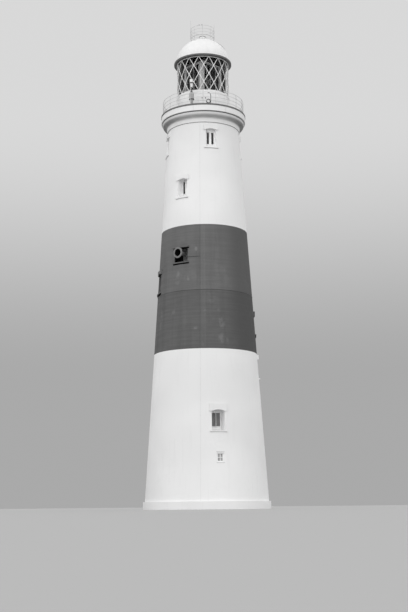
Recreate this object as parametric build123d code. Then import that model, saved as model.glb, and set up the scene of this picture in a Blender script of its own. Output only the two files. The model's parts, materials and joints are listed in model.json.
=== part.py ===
"""A tall round masonry lighthouse with one dark band, at half its real size.

Millimetres, +Z up, origin on the tower's axis at ground level.
Bearings are counted about the axis: bearing 0 looks along -Y, and they grow towards +X.
"""
import os
from dataclasses import dataclass
from math import cos, radians, sin, sqrt

from build123d import *

# Tower shaft
FOOT_RADIUS = 2460
NECK_RADIUS = 1480
BATTER_HOLLOW = 8
FOOT_BORE_RADIUS = 1560
SERVICE_BORE_RADIUS = 1040
PLINTH_HEIGHT = 300
PLINTH_PROJECTION = 60
BASE_WALL_TOP = 2480
LOWER_WALL_TOP = 4400
BAND_BOTTOM = 6093
BAND_STRING = 8430
BAND_TOP = 11100
SERVICE_FLOOR_LEVEL = 13700
FLOOR_THICKNESS = 120
FLOOR_BEARING = 60
FIT_CLEARANCE = 0.3
NECK_LEVEL = 15429
STAIR_HOLE_RADIUS = 420

# Cornice and gallery
NECK_COURSE_HEIGHT = 116
NECK_COURSE_PROJECTION = 32
SCOTIA_RADIUS = 117
OVOLO_REACH = 71
OVOLO_HEIGHT = 143
DRIP_HEIGHT = 35
DRIP_DEPTH = 30
FASCIA_HEIGHT = 230
FASCIA_LIP = 48
DECK_THICKNESS = 60
DECK_NOSING = 14
FLOOR_HATCH_WIDTH = 420
FLOOR_HATCH_DEPTH = 280
FLOOR_HATCH_DISTANCE = 800

# Gallery railing
RAILING_INSET = 88
RAILING_HEIGHT = 620
RAILING_POSTS = 20
RAILING_POST_SIDE = 22
RAILING_BAR_SIDE = 14
RAILING_BARS = 4

# Lantern
MURETTE_RADIUS = 1100
MURETTE_THICKNESS = 60
MURETTE_HEIGHT = 790
MURETTE_DOOR_WIDTH = 330
MURETTE_DOOR_HEIGHT = 640
MURETTE_DOOR_SILL = 70
CILL_HEIGHT = 34
CILL_PROJECTION = 12
CILL_INNER_LAP = 32
GLASS_SETBACK = 32
GLASS_THICKNESS = 12
GLAZING_HEIGHT = 1490
LATTICE_DEPTH = 16
LATTICE_BAR = 34
LATTICE_BAYS = 16
LATTICE_ROWS = 4
LATTICE_BEARING = 13.5
EAVES_HEIGHT = 66
EAVES_LIP = 96
EAVES_BEARING = 60

# Dome and what stands on it
DOME_OVERHANG = 44
DOME_RISE = 1060
DOME_THICKNESS = 24
DOME_CURVE_STEPS = 24
VENT_NECK_RADIUS = 118
VENT_CAP_RADIUS = 148
VENT_NECK_HEIGHT = 60
VENT_CAP_HEIGHT = 100
CROWN_RAIL_RADIUS = 485
CROWN_RAIL_TOP = 520
CROWN_RAIL_SPACING = 142
CROWN_RAIL_BARS = 4
CROWN_RAIL_POSTS = 8
CROWN_BAR_SIDE = 14
AERIAL_SIDE = 14
LEFT_AERIAL_ABOVE_RAIL = 420
RIGHT_AERIAL_ABOVE_RAIL = 230
AERIAL_BELOW_RAIL = 30
DOME_HANDRAIL_BEARING = 82
DOME_HANDRAIL_STANDOFF = 60
DOME_HANDRAIL_SIDE = 14
DOME_HANDRAIL_FROM = 34
DOME_HANDRAIL_TO = 76
DOME_HANDRAIL_STAYS = 4

# Lens inside the lantern
LENS_CORNER_RADIUS = 780
LENS_HEIGHT = 1640
LENS_POST_SIDE = 90
LENS_RAIL_HEIGHT = 70
LENS_PANEL_THICKNESS = 60
LENS_BEARING = 45
LENS_SIDES = 4
LENS_PEDESTAL_RADIUS = 360
LENS_PEDESTAL_HEIGHT = 560
LENS_TABLE_THICKNESS = 60

# Windows: sills, heights and how far the frames are set back, from the top of the tower down
SERVICE_WINDOW_BEARINGS = (11.8, 101.8, 193, -78.2)
SERVICE_WINDOW_SILL = 14320
SERVICE_WINDOW_HEIGHT = 835
SERVICE_WINDOW_REVEAL = 200
SERVICE_LIGHT_BOTTOM = 225
SERVICE_LIGHT_TOP = 118
UPPER_WINDOW_BEARINGS = (-32, 193)
UPPER_WINDOW_SILL = 12262
UPPER_WINDOW_HEIGHT = 820
UPPER_WINDOW_REVEAL = 290
UPPER_LIGHT_BOTTOM = 250
UPPER_LIGHT_TOP = 60
BAND_UPPER_WINDOW_BEARINGS = (-76, 193)
BAND_UPPER_WINDOW_SILL = 8530
BAND_LOWER_WINDOW_BEARING = 97
BAND_LOWER_WINDOW_SILL = 6885
BAND_WINDOW_HEIGHT = 830
BAND_WINDOW_REVEAL = 400
BAND_LIGHT_BOTTOM = 225
BAND_LIGHT_TOP = 95
BAND_HEAD_PROJECTION = 26
MIDDLE_WINDOW_BEARING = 97
MIDDLE_WINDOW_SILL = 5095
MIDDLE_WINDOW_HEIGHT = 875
MIDDLE_WINDOW_REVEAL = 470
MIDDLE_HEAD_HEIGHT = 170
LOWER_WINDOW_BEARING = 12
LOWER_WINDOW_SILL = 2886
LOWER_WINDOW_HEIGHT = 840
LOWER_WINDOW_REVEAL = 460
LOWER_LIGHT_BOTTOM = 232
LOWER_LIGHT_TOP = 96
LOWER_HEAD_HEIGHT = 285
MOUTH_WIDTH = 436
FRAME_WIDTH = 370
WIDE_MOUTH_WIDTH = 520
WIDE_FRAME_WIDTH = 410

# Window parts
FRAME_DEPTH = 46
FRAME_STILE = 42
FRAME_MULLION = 90
THIN_MULLION = 28
PANE_THICKNESS = 10
PANE_LAP = 12
SILL_HEIGHT = 42
SILL_SLOPE = 60
SILL_PROJECTION = 48
SILL_EAR = 80
HEAD_HEIGHT = 200
HEAD_PROJECTION = 25
HEAD_EAR = 88
ARCH_RISE_SHARE = 0.12
CUT_MARGIN = 90

# Doorway at the back
ENTRANCE_BEARING = 193
ENTRANCE_WIDTH = 560
ENTRANCE_HEIGHT = 1130
ENTRANCE_REVEAL = 420
ENTRANCE_FRAME_SIDE = 50
ENTRANCE_FRAME_DEPTH = 90
ENTRANCE_DOOR_THICKNESS = 50
STEP_WIDTH = 900
STEP_TREAD = 260
STEP_COUNT = 2

# Fog horn recess
HORN_BEARING = -31
HORN_RECESS_BOTTOM = 9600
HORN_RECESS_TOP = 10180
HORN_RECESS_WIDTH = 600
HORN_RECESS_DEPTH = 340
HORN_SURROUND_EAR = 62
HORN_SURROUND_HEIGHT = 44
HORN_SURROUND_PROJECTION = 60
HORN_PANEL_THICKNESS = 40
HORN_AXIS_LEVEL = 10000
HORN_MOUTH_RADIUS = 215
HORN_MOUTH_HOLE_RADIUS = 142
HORN_MOUTH_LIP = 36
HORN_THROAT_RADIUS = 84
HORN_THROAT_HOLE_RADIUS = 66
HORN_THROAT_LENGTH = 150
HORN_OVERHANG = 150

# Things that stand on the gallery
LAMP_BEARING = -17.5
LAMP_DISTANCE = 1550
LAMP_FOOT_RADIUS = 62
LAMP_FOOT_HEIGHT = 246
LAMP_STRAP_RADIUS = 108
LAMP_STRAP_HEIGHT = 20
LAMP_DRUM_RADIUS = 98
LAMP_DRUM_HEIGHT = 250
LAMP_COLLAR_RADIUS = 86
LAMP_COLLAR_HEIGHT = 56
LAMP_CONE_BASE_RADIUS = 52
LAMP_CONE_TOP_RADIUS = 22
LAMP_CONE_HEIGHT = 130
LAMP_NECK_RADIUS = 18
LAMP_NECK_HEIGHT = 84
LAMP_LOWER_LENS_RADIUS = 56
LAMP_LOWER_LENS_HEIGHT = 170
LAMP_RING_RADIUS = 94
LAMP_RING_HEIGHT = 16
LAMP_UPPER_LENS_RADIUS = 76
LAMP_UPPER_LENS_HEIGHT = 158
DAVIT_BEARING = 13
DAVIT_DISTANCE = 1500
DAVIT_RADIUS = 12
DAVIT_HEIGHT = 500
DAVIT_CROOK_RADIUS = 48
FLOODLIGHT_RADIUS = 92
FLOODLIGHT_DEPTH = 80
FLOODLIGHT_LEVEL = 172

# Angles
FULL_TURN = 360
QUARTER_TURN = 90

# Levels worked out from the sizes above
SERVICE_LEDGE = SERVICE_FLOOR_LEVEL - FLOOR_THICKNESS
CAVETTO_LEVEL = NECK_LEVEL + NECK_COURSE_HEIGHT
OVOLO_LEVEL = CAVETTO_LEVEL + SCOTIA_RADIUS
DRIP_LEVEL = OVOLO_LEVEL + OVOLO_HEIGHT
FASCIA_LEVEL = DRIP_LEVEL + DRIP_HEIGHT
DECK_LEVEL = FASCIA_LEVEL + FASCIA_HEIGHT
GALLERY_LEVEL = DECK_LEVEL + DECK_THICKNESS
CILL_LEVEL = GALLERY_LEVEL + MURETTE_HEIGHT
GLAZING_LEVEL = CILL_LEVEL + CILL_HEIGHT
EAVES_LEVEL = GLAZING_LEVEL + GLAZING_HEIGHT
DOME_LEVEL = EAVES_LEVEL + EAVES_HEIGHT
STAGE_LEVELS = [PLINTH_HEIGHT, BASE_WALL_TOP, LOWER_WALL_TOP, BAND_BOTTOM, BAND_STRING, BAND_TOP,
                SERVICE_LEDGE, NECK_LEVEL]

# Radii worked out from the sizes above
NECK_COURSE_RADIUS = NECK_RADIUS + NECK_COURSE_PROJECTION
SCOTIA_TOP_RADIUS = NECK_COURSE_RADIUS + SCOTIA_RADIUS
OVOLO_TOP_RADIUS = SCOTIA_TOP_RADIUS + OVOLO_REACH
FASCIA_RADIUS = OVOLO_TOP_RADIUS + FASCIA_LIP
DECK_RADIUS = FASCIA_RADIUS + DECK_NOSING
RAILING_RADIUS = DECK_RADIUS - RAILING_INSET
MURETTE_BORE_RADIUS = MURETTE_RADIUS - MURETTE_THICKNESS
GLASS_RADIUS = MURETTE_RADIUS - GLASS_SETBACK
DOME_RADIUS = GLASS_RADIUS + DOME_OVERHANG
EAVES_RADIUS = DOME_RADIUS + EAVES_LIP


@dataclass
class Window:
    """One window: its bearing, its sill level and height, and the sizes that differ by storey."""
    bearing: float
    sill: float
    height: float
    reveal: float
    light_bottom: float
    light_top: float
    mouth_width: float = MOUTH_WIDTH
    frame_width: float = FRAME_WIDTH
    mullion: float = FRAME_MULLION
    head_height: float = HEAD_HEIGHT
    head_projection: float = HEAD_PROJECTION

    @property
    def crown(self):
        """Level of the top of the arch."""
        return self.sill + self.height

    @property
    def springing(self):
        """Level where the arch starts on the face of the wall."""
        return self.crown - self.mouth_width * ARCH_RISE_SHARE

    @property
    def face_radius(self):
        """Radius of the wall's face at the window's middle."""
        return outer_radius((self.sill + self.crown) / 2)

    @property
    def frame_radius(self):
        """Distance of the frame's front from the axis."""
        return self.face_radius - self.reveal

    def width_at(self, distance):
        """The reveal widens evenly from the frame to the face of the wall."""
        growth = (self.mouth_width - self.frame_width) / self.reveal
        return self.frame_width + growth * (distance - self.frame_radius)


SERVICE_WINDOWS = [
    Window(bearing, SERVICE_WINDOW_SILL, SERVICE_WINDOW_HEIGHT, SERVICE_WINDOW_REVEAL,
           SERVICE_LIGHT_BOTTOM, SERVICE_LIGHT_TOP)
    for bearing in SERVICE_WINDOW_BEARINGS
]
UPPER_WINDOWS = [
    Window(bearing, UPPER_WINDOW_SILL, UPPER_WINDOW_HEIGHT, UPPER_WINDOW_REVEAL,
           UPPER_LIGHT_BOTTOM, UPPER_LIGHT_TOP)
    for bearing in UPPER_WINDOW_BEARINGS
]
BAND_UPPER_WINDOWS = [
    Window(bearing, BAND_UPPER_WINDOW_SILL, BAND_WINDOW_HEIGHT, BAND_WINDOW_REVEAL,
           BAND_LIGHT_BOTTOM, BAND_LIGHT_TOP, head_projection=BAND_HEAD_PROJECTION)
    for bearing in BAND_UPPER_WINDOW_BEARINGS
]
BAND_LOWER_WINDOWS = [
    Window(BAND_LOWER_WINDOW_BEARING, BAND_LOWER_WINDOW_SILL, BAND_WINDOW_HEIGHT,
           BAND_WINDOW_REVEAL, BAND_LIGHT_BOTTOM, BAND_LIGHT_TOP,
           head_projection=BAND_HEAD_PROJECTION)
]
MIDDLE_WINDOWS = [
    Window(MIDDLE_WINDOW_BEARING, MIDDLE_WINDOW_SILL, MIDDLE_WINDOW_HEIGHT, MIDDLE_WINDOW_REVEAL,
           LOWER_LIGHT_BOTTOM, LOWER_LIGHT_TOP, WIDE_MOUTH_WIDTH, WIDE_FRAME_WIDTH, THIN_MULLION,
           MIDDLE_HEAD_HEIGHT)
]
LOWER_WINDOWS = [
    Window(LOWER_WINDOW_BEARING, LOWER_WINDOW_SILL, LOWER_WINDOW_HEIGHT, LOWER_WINDOW_REVEAL,
           LOWER_LIGHT_BOTTOM, LOWER_LIGHT_TOP, WIDE_MOUTH_WIDTH, WIDE_FRAME_WIDTH, THIN_MULLION,
           LOWER_HEAD_HEIGHT)
]
STAIR_WINDOWS = (LOWER_WINDOWS + MIDDLE_WINDOWS + BAND_LOWER_WINDOWS + BAND_UPPER_WINDOWS
                 + UPPER_WINDOWS)

# The small square window beside the ground floor
SMALL_WINDOW_BEARING = 13
SMALL_WINDOW_BOTTOM = 1754
SMALL_WINDOW_TOP = 2090
SMALL_WINDOW_WIDTH = 264
SMALL_WINDOW_REVEAL = 46
SMALL_WINDOW_BORDER = 36
SMALL_WINDOW_BAR = 20


def outer_radius(level):
    """Radius of the wall's face: a straight batter, slightly hollow at mid-height."""
    share = level / NECK_LEVEL
    straight = FOOT_RADIUS + (NECK_RADIUS - FOOT_RADIUS) * share
    return straight - BATTER_HOLLOW * (1 - (2 * share - 1) ** 2)


def bore_radius(level):
    """Radius of the stair well, which narrows evenly up to the ledge under the service room."""
    ledge_radius = SERVICE_BORE_RADIUS - FLOOR_BEARING
    return FOOT_BORE_RADIUS + (ledge_radius - FOOT_BORE_RADIUS) * level / SERVICE_LEDGE


def facing(bearing, distance=0):
    """Upright plane that looks outwards on a bearing, a given distance from the axis."""
    turn = radians(bearing)
    outward = Vector(sin(turn), -cos(turn), 0)
    return Plane(origin=outward * distance, x_dir=(cos(turn), sin(turn), 0), z_dir=outward)


def slice_plane(bearing):
    """Upright plane through the axis: its x runs outwards on a bearing and its y runs up."""
    turn = radians(bearing)
    return Plane(origin=(0, 0, 0), x_dir=(sin(turn), -cos(turn), 0),
                 z_dir=(-cos(turn), -sin(turn), 0))


def standing_at(bearing, distance, level):
    """Level plane on a bearing, turned so that its y looks outwards."""
    turn = radians(bearing)
    outward = Vector(sin(turn), -cos(turn), 0)
    return Plane(origin=outward * distance + Vector(0, 0, level),
                 x_dir=(-cos(turn), -sin(turn), 0), z_dir=(0, 0, 1))


def turned(points):
    """Turn a closed outline of (radius, level) points about the axis."""
    return revolve(Plane.XZ * make_face(Polyline(*points, close=True)), Axis.Z)


def ring(inner, outer, bottom, top):
    """Plain ring with upright faces."""
    return turned([(inner, bottom), (outer, bottom), (outer, top), (inner, top)])


def upright_block(bearing, near, far, width, bottom, top):
    """Block that runs outwards on a bearing between two distances."""
    outline = Pos(0, (bottom + top) / 2) * Rectangle(width, top - bottom)
    return extrude(facing(bearing, near) * outline, far - near)


def arched_outline(width, bottom, springing, rise):
    """Opening with upright sides and a segmental head."""
    half = width / 2
    sides = Polyline((-half, springing), (-half, bottom), (half, bottom), (half, springing))
    head = ThreePointArc((half, springing), (0, springing + rise), (-half, springing))
    return make_face(sides + head)


def window_outline(window, distance):
    """Outline of the reveal at a distance from the axis."""
    width = window.width_at(distance)
    rise = width * ARCH_RISE_SHARE
    return arched_outline(width, window.sill, window.crown - rise, rise)


def window_cut(window):
    """Splayed reveal outside the frame, and a straight way through the rest of the wall."""
    frame = window.frame_radius
    mouth = window.face_radius + CUT_MARGIN
    reveal = loft([facing(window.bearing, frame) * window_outline(window, frame),
                   facing(window.bearing, mouth) * window_outline(window, mouth)], ruled=True)
    inner_end = bore_radius(window.crown) - CUT_MARGIN
    through = extrude(facing(window.bearing, frame) * window_outline(window, frame),
                      inner_end - frame)
    return reveal + through


def window_sill(window, shaft):
    """Sill with a sloping top in the reveal and a nose that runs past it on the face."""
    nose = window.face_radius + SILL_PROJECTION
    base = window.sill
    outline = Polyline((window.frame_radius, base), (nose, base), (nose, base + SILL_HEIGHT),
                       (window.frame_radius, base + SILL_HEIGHT + SILL_SLOPE), close=True)
    half = window.mouth_width / 2 + SILL_EAR
    block = extrude(slice_plane(window.bearing) * make_face(outline), half, both=True)
    return block - (shaft - window_cut(window))


def shaft_core():
    """Solid of the whole shaft, without its bore."""
    face = [(outer_radius(level), level) for level in STAGE_LEVELS]
    return turned([(0, STAGE_LEVELS[0]), *face, (0, STAGE_LEVELS[-1])])


def window_head(window, shaft):
    """Flat block raised on the face over the opening, with the arch cut up into it."""
    width = window.mouth_width + 2 * HEAD_EAR
    top = window.springing + window.head_height
    front = outer_radius(window.springing) + window.head_projection
    block = upright_block(window.bearing, window.frame_radius, front, width, window.springing, top)
    block = block - shaft - window_cut(window)
    return block.solids().sort_by(SortBy.VOLUME)[-1]


def light_outlines(window):
    """The two upright lights of a window."""
    width = (window.frame_width - 2 * FRAME_STILE - window.mullion) / 2
    bottom = window.sill + window.light_bottom
    top = window.crown - window.light_top
    across = (width + window.mullion) / 2
    light = Rectangle(width, top - bottom)
    return [Pos(side * across, (bottom + top) / 2) * light for side in (-1, 1)]


def window_frame(window):
    """Frame with two upright lights, which fills the inner end of the reveal."""
    face = window_outline(window, window.frame_radius)
    for light in light_outlines(window):
        face -= light
    return extrude(facing(window.bearing, window.frame_radius) * face, -FRAME_DEPTH)


def window_pane(window):
    """One sheet of glass behind both lights, flat against the frame."""
    width = window.frame_width - 2 * FRAME_STILE + 2 * PANE_LAP
    bottom = window.sill + window.light_bottom - PANE_LAP
    top = window.crown - window.light_top + PANE_LAP
    back = window.frame_radius - FRAME_DEPTH
    return upright_block(window.bearing, back - PANE_THICKNESS, back, width, bottom, top)


def small_window_radius():
    """Distance of the small window's frame from the axis."""
    return outer_radius(SMALL_WINDOW_TOP) - SMALL_WINDOW_REVEAL


def small_window_cut():
    """Square way through the wall for the small window."""
    inner_end = bore_radius(SMALL_WINDOW_TOP) - CUT_MARGIN
    return upright_block(SMALL_WINDOW_BEARING, inner_end, FOOT_RADIUS + CUT_MARGIN,
                         SMALL_WINDOW_WIDTH, SMALL_WINDOW_BOTTOM, SMALL_WINDOW_TOP)


def small_window_frame():
    """Square frame with one upright and one level bar."""
    height = SMALL_WINDOW_TOP - SMALL_WINDOW_BOTTOM
    middle = (SMALL_WINDOW_TOP + SMALL_WINDOW_BOTTOM) / 2
    open_width = SMALL_WINDOW_WIDTH - 2 * SMALL_WINDOW_BORDER
    open_height = height - 2 * SMALL_WINDOW_BORDER
    face = Rectangle(SMALL_WINDOW_WIDTH, height) - Rectangle(open_width, open_height)
    face += Rectangle(SMALL_WINDOW_BAR, open_height)
    face += Rectangle(open_width, SMALL_WINDOW_BAR)
    plane = facing(SMALL_WINDOW_BEARING, small_window_radius())
    return extrude(plane * (Pos(0, middle) * face), -FRAME_DEPTH)


def small_window_pane():
    """Glass of the small window, flat against its frame."""
    back = small_window_radius() - FRAME_DEPTH
    lap = SMALL_WINDOW_BORDER - PANE_LAP
    return upright_block(SMALL_WINDOW_BEARING, back - PANE_THICKNESS, back,
                         SMALL_WINDOW_WIDTH - 2 * lap, SMALL_WINDOW_BOTTOM + lap,
                         SMALL_WINDOW_TOP - lap)


def wall_stage(bottom, top):
    """One stage of the shaft, cut through for each stair window that reaches into it."""
    stage = turned([(bore_radius(bottom), bottom), (outer_radius(bottom), bottom),
                    (outer_radius(top), top), (bore_radius(top), top)])
    for window in STAIR_WINDOWS:
        if window.sill < top and window.crown > bottom:
            stage -= window_cut(window)
    return stage


def service_room_stage():
    """Top stage: its bore is wider, which leaves the ledge that the service floor rests on."""
    stage = turned([(SERVICE_BORE_RADIUS, SERVICE_LEDGE), (outer_radius(SERVICE_LEDGE), SERVICE_LEDGE),
                    (NECK_RADIUS, NECK_LEVEL), (SERVICE_BORE_RADIUS, NECK_LEVEL)])
    for window in SERVICE_WINDOWS:
        stage -= window_cut(window)
    return stage


def entrance_cut():
    """Doorway through the bottom stage, down to the top of the plinth."""
    return upright_block(ENTRANCE_BEARING, bore_radius(BASE_WALL_TOP) - CUT_MARGIN,
                         FOOT_RADIUS + CUT_MARGIN, ENTRANCE_WIDTH, PLINTH_HEIGHT,
                         PLINTH_HEIGHT + ENTRANCE_HEIGHT)


def entrance_distance():
    """Distance of the outer face of the door frame from the axis."""
    return outer_radius(PLINTH_HEIGHT + ENTRANCE_HEIGHT / 2) - ENTRANCE_REVEAL


def entrance_frame():
    """Three-sided frame in the doorway."""
    front = entrance_distance()
    back = front - ENTRANCE_FRAME_DEPTH
    top = PLINTH_HEIGHT + ENTRANCE_HEIGHT
    outside = upright_block(ENTRANCE_BEARING, back, front, ENTRANCE_WIDTH, PLINTH_HEIGHT, top)
    inside = upright_block(ENTRANCE_BEARING, back, front, ENTRANCE_WIDTH - 2 * ENTRANCE_FRAME_SIDE,
                           PLINTH_HEIGHT, top - ENTRANCE_FRAME_SIDE)
    return outside - inside


def entrance_door():
    """Door leaf, shut, within the frame."""
    middle = entrance_distance() - ENTRANCE_FRAME_DEPTH / 2
    half = ENTRANCE_DOOR_THICKNESS / 2
    return upright_block(ENTRANCE_BEARING, middle - half, middle + half,
                         ENTRANCE_WIDTH - 2 * (ENTRANCE_FRAME_SIDE + FIT_CLEARANCE),
                         PLINTH_HEIGHT,
                         PLINTH_HEIGHT + ENTRANCE_HEIGHT - ENTRANCE_FRAME_SIDE - FIT_CLEARANCE)


def entrance_steps():
    """Stone steps outside the doorway, butted against the plinth."""
    riser = PLINTH_HEIGHT / (STEP_COUNT + 1)
    start = FOOT_RADIUS
    flight = None
    for number in range(STEP_COUNT):
        reach = FOOT_RADIUS + PLINTH_PROJECTION + STEP_TREAD * (STEP_COUNT - number)
        step = upright_block(ENTRANCE_BEARING, start, reach, STEP_WIDTH, riser * number,
                             riser * (number + 1))
        flight = step if flight is None else flight + step
    plinth_core = Cylinder(FOOT_RADIUS + PLINTH_PROJECTION, PLINTH_HEIGHT,
                           align=(Align.CENTER, Align.CENTER, Align.MIN))
    return flight - plinth_core


def horn_face_radius():
    """Radius of the wall's face at the middle of the horn recess."""
    return outer_radius((HORN_RECESS_BOTTOM + HORN_RECESS_TOP) / 2)


def horn_back_distance():
    """Distance of the back of the horn recess from the axis."""
    return horn_face_radius() - HORN_RECESS_DEPTH


def horn_cut():
    """Square recess for the fog horn."""
    return upright_block(HORN_BEARING, horn_back_distance(), horn_face_radius() + CUT_MARGIN,
                         HORN_RECESS_WIDTH, HORN_RECESS_BOTTOM, HORN_RECESS_TOP)


def horn_course(wall, bottom):
    """Level course over or under the horn recess."""
    front = horn_face_radius() + HORN_SURROUND_PROJECTION
    block = upright_block(HORN_BEARING, horn_back_distance(), front,
                          HORN_RECESS_WIDTH + 2 * HORN_SURROUND_EAR, bottom,
                          bottom + HORN_SURROUND_HEIGHT)
    return (block - wall).solids().sort_by(SortBy.VOLUME)[-1]


def horn_panel():
    """Louvred panel across the back of the recess."""
    back = horn_back_distance()
    panel = upright_block(HORN_BEARING, back, back + HORN_PANEL_THICKNESS, HORN_RECESS_WIDTH,
                          HORN_RECESS_BOTTOM, HORN_RECESS_TOP)
    core = facing(HORN_BEARING, back) * Pos(0, HORN_AXIS_LEVEL, HORN_PANEL_THICKNESS / 2)
    return panel - core * Cylinder(HORN_THROAT_RADIUS, HORN_PANEL_THICKNESS)


def fog_horn():
    """Flared horn: a straight throat, then a bell that opens to a thick rim."""
    back = horn_back_distance()
    throat_end = HORN_PANEL_THICKNESS + HORN_THROAT_LENGTH
    mouth = horn_face_radius() + HORN_OVERHANG - back
    rim_back = mouth - HORN_MOUTH_LIP
    outside = Polyline((0, 0), (HORN_THROAT_RADIUS, 0), (HORN_THROAT_RADIUS, throat_end))
    flare = TangentArc((HORN_THROAT_RADIUS, throat_end), (HORN_MOUTH_RADIUS, rim_back),
                       tangent=(0, 1))
    front = Polyline((HORN_MOUTH_RADIUS, rim_back), (HORN_MOUTH_RADIUS, mouth), (0, mouth), (0, 0))
    solid = revolve(Plane.XZ * make_face(outside + flare + front), Axis.Z)
    bell = Polyline((0, throat_end), (HORN_THROAT_HOLE_RADIUS, throat_end),
                    (HORN_MOUTH_HOLE_RADIUS, mouth), (0, mouth), close=True)
    solid -= revolve(Plane.XZ * make_face(bell), Axis.Z)
    plane = facing(HORN_BEARING, back)
    return plane * Pos(0, HORN_AXIS_LEVEL, 0) * solid


def ground_floor():
    """Slab inside the plinth: the bottom stage stands on its edge."""
    radius = FOOT_BORE_RADIUS + FLOOR_BEARING - FIT_CLEARANCE
    return Cylinder(radius, PLINTH_HEIGHT, align=(Align.CENTER, Align.CENTER, Align.MIN))


def service_floor():
    """Floor slab on the ledge, with the round hole that the stair comes up through."""
    return ring(STAIR_HOLE_RADIUS, SERVICE_BORE_RADIUS - FIT_CLEARANCE, SERVICE_LEDGE,
                SERVICE_FLOOR_LEVEL)


def cavetto_course():
    """Moulding that carries the gallery outwards: a hollow, a long ovolo and a sunk drip."""
    hollow_start = (NECK_COURSE_RADIUS, CAVETTO_LEVEL)
    hollow_end = (SCOTIA_TOP_RADIUS, OVOLO_LEVEL)
    hollow = TangentArc(hollow_start, hollow_end, tangent=(0, 1))
    ovolo = EllipticalCenterArc((SCOTIA_TOP_RADIUS, DRIP_LEVEL), OVOLO_REACH, OVOLO_HEIGHT,
                                start_angle=-QUARTER_TURN, arc_size=QUARTER_TURN)
    drip = OVOLO_TOP_RADIUS - DRIP_DEPTH
    rest = Polyline((OVOLO_TOP_RADIUS, DRIP_LEVEL), (drip, DRIP_LEVEL), (drip, FASCIA_LEVEL),
                    (SERVICE_BORE_RADIUS, FASCIA_LEVEL), (SERVICE_BORE_RADIUS, CAVETTO_LEVEL),
                    hollow_start)
    return revolve(Plane.XZ * make_face(hollow + ovolo + rest), Axis.Z)


def gallery_deck():
    """Gallery and lantern floor in one, with a hatch down to the service room at the back."""
    deck = Pos(0, 0, DECK_LEVEL) * Cylinder(DECK_RADIUS, DECK_THICKNESS,
                                            align=(Align.CENTER, Align.CENTER, Align.MIN))
    near = FLOOR_HATCH_DISTANCE - FLOOR_HATCH_DEPTH / 2
    return deck - upright_block(ENTRANCE_BEARING, near, near + FLOOR_HATCH_DEPTH,
                                FLOOR_HATCH_WIDTH, DECK_LEVEL, GALLERY_LEVEL)


def square_post(bearing, distance, side, bottom, top):
    """Upright square bar."""
    return upright_block(bearing, distance - side / 2, distance + side / 2, side, bottom, top)


def bar_ring(radius, side, level):
    """Level bar bent to a circle, centred on a radius and a level."""
    return ring(radius - side / 2, radius + side / 2, level - side / 2, level + side / 2)


def gallery_railing():
    """Posts round the gallery, joined by level bars."""
    top_bar = GALLERY_LEVEL + RAILING_HEIGHT - RAILING_BAR_SIDE / 2
    spacing = RAILING_HEIGHT / RAILING_BARS
    bars = [bar_ring(RAILING_RADIUS, RAILING_BAR_SIDE, top_bar - spacing * number)
            for number in range(RAILING_BARS)]
    posts = [square_post(FULL_TURN * number / RAILING_POSTS, RAILING_RADIUS, RAILING_POST_SIDE,
                         GALLERY_LEVEL, GALLERY_LEVEL + RAILING_HEIGHT)
             for number in range(RAILING_POSTS)]
    return bars[0].fuse(*bars[1:], *posts)


def murette_door_block(clearance):
    """Block that cuts the murette for its door, or that trims the door."""
    bottom = GALLERY_LEVEL + MURETTE_DOOR_SILL
    return upright_block(ENTRANCE_BEARING, MURETTE_BORE_RADIUS - MURETTE_THICKNESS,
                         MURETTE_RADIUS + MURETTE_THICKNESS,
                         MURETTE_DOOR_WIDTH - 2 * clearance, bottom,
                         bottom + MURETTE_DOOR_HEIGHT - clearance)


def murette():
    """Drum-shaped wall under the lantern glass, with a doorway on to the gallery."""
    drum = ring(MURETTE_BORE_RADIUS, MURETTE_RADIUS, GALLERY_LEVEL, CILL_LEVEL)
    return drum - murette_door_block(0)


def murette_door():
    """Curved door that closes the murette."""
    drum = ring(MURETTE_BORE_RADIUS, MURETTE_RADIUS, GALLERY_LEVEL, CILL_LEVEL)
    return (drum & murette_door_block(FIT_CLEARANCE)).solids()[0]


def lattice_hole(bay, lower_row, rows):
    """One diamond of the lattice, or half a diamond at the bottom or the top edge."""
    pitch = FULL_TURN / LATTICE_BAYS
    row_height = GLAZING_HEIGHT / LATTICE_ROWS
    bearing = LATTICE_BEARING + pitch * (bay + lower_row / 2)
    radius = GLASS_RADIUS + FIT_CLEARANCE + LATTICE_DEPTH / 2
    half_width = radius * sin(radians(pitch / 2))
    inset = LATTICE_BAR / 2 * sqrt(1 + (row_height / half_width) ** 2)
    inset_across = inset * half_width / row_height
    foot = GLAZING_LEVEL + row_height * lower_row
    waist = foot + row_height
    if rows == "lower half":
        outline = [(-half_width + inset_across, waist), (0, waist - row_height + inset),
                   (half_width - inset_across, waist)]
    elif rows == "upper half":
        outline = [(-half_width + inset_across, foot), (0, foot + row_height - inset),
                   (half_width - inset_across, foot)]
    else:
        outline = [(-half_width + inset_across, waist), (0, foot + inset),
                   (half_width - inset_across, waist), (0, foot + 2 * row_height - inset)]
    plane = facing(bearing, GLASS_RADIUS - LATTICE_DEPTH)
    return extrude(plane * make_face(Polyline(*outline, close=True)), 4 * LATTICE_DEPTH)


def lantern_lattice():
    """Slanting bars outside the glass, crossing to form diamonds."""
    inner = GLASS_RADIUS + FIT_CLEARANCE
    band = ring(inner, inner + LATTICE_DEPTH, GLAZING_LEVEL, EAVES_LEVEL)
    holes = []
    for bay in range(LATTICE_BAYS):
        holes += [lattice_hole(bay, row, "whole") for row in range(LATTICE_ROWS - 1)]
        holes.append(lattice_hole(bay, LATTICE_ROWS - 1, "lower half"))
        holes.append(lattice_hole(bay - 1 / 2, 0, "upper half"))
    return band.cut(*holes)


def dome_outline_level(radius):
    """Level of the dome's outside at a radius."""
    return DOME_LEVEL + DOME_RISE * sqrt(1 - (radius / DOME_RADIUS) ** 2)


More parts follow.
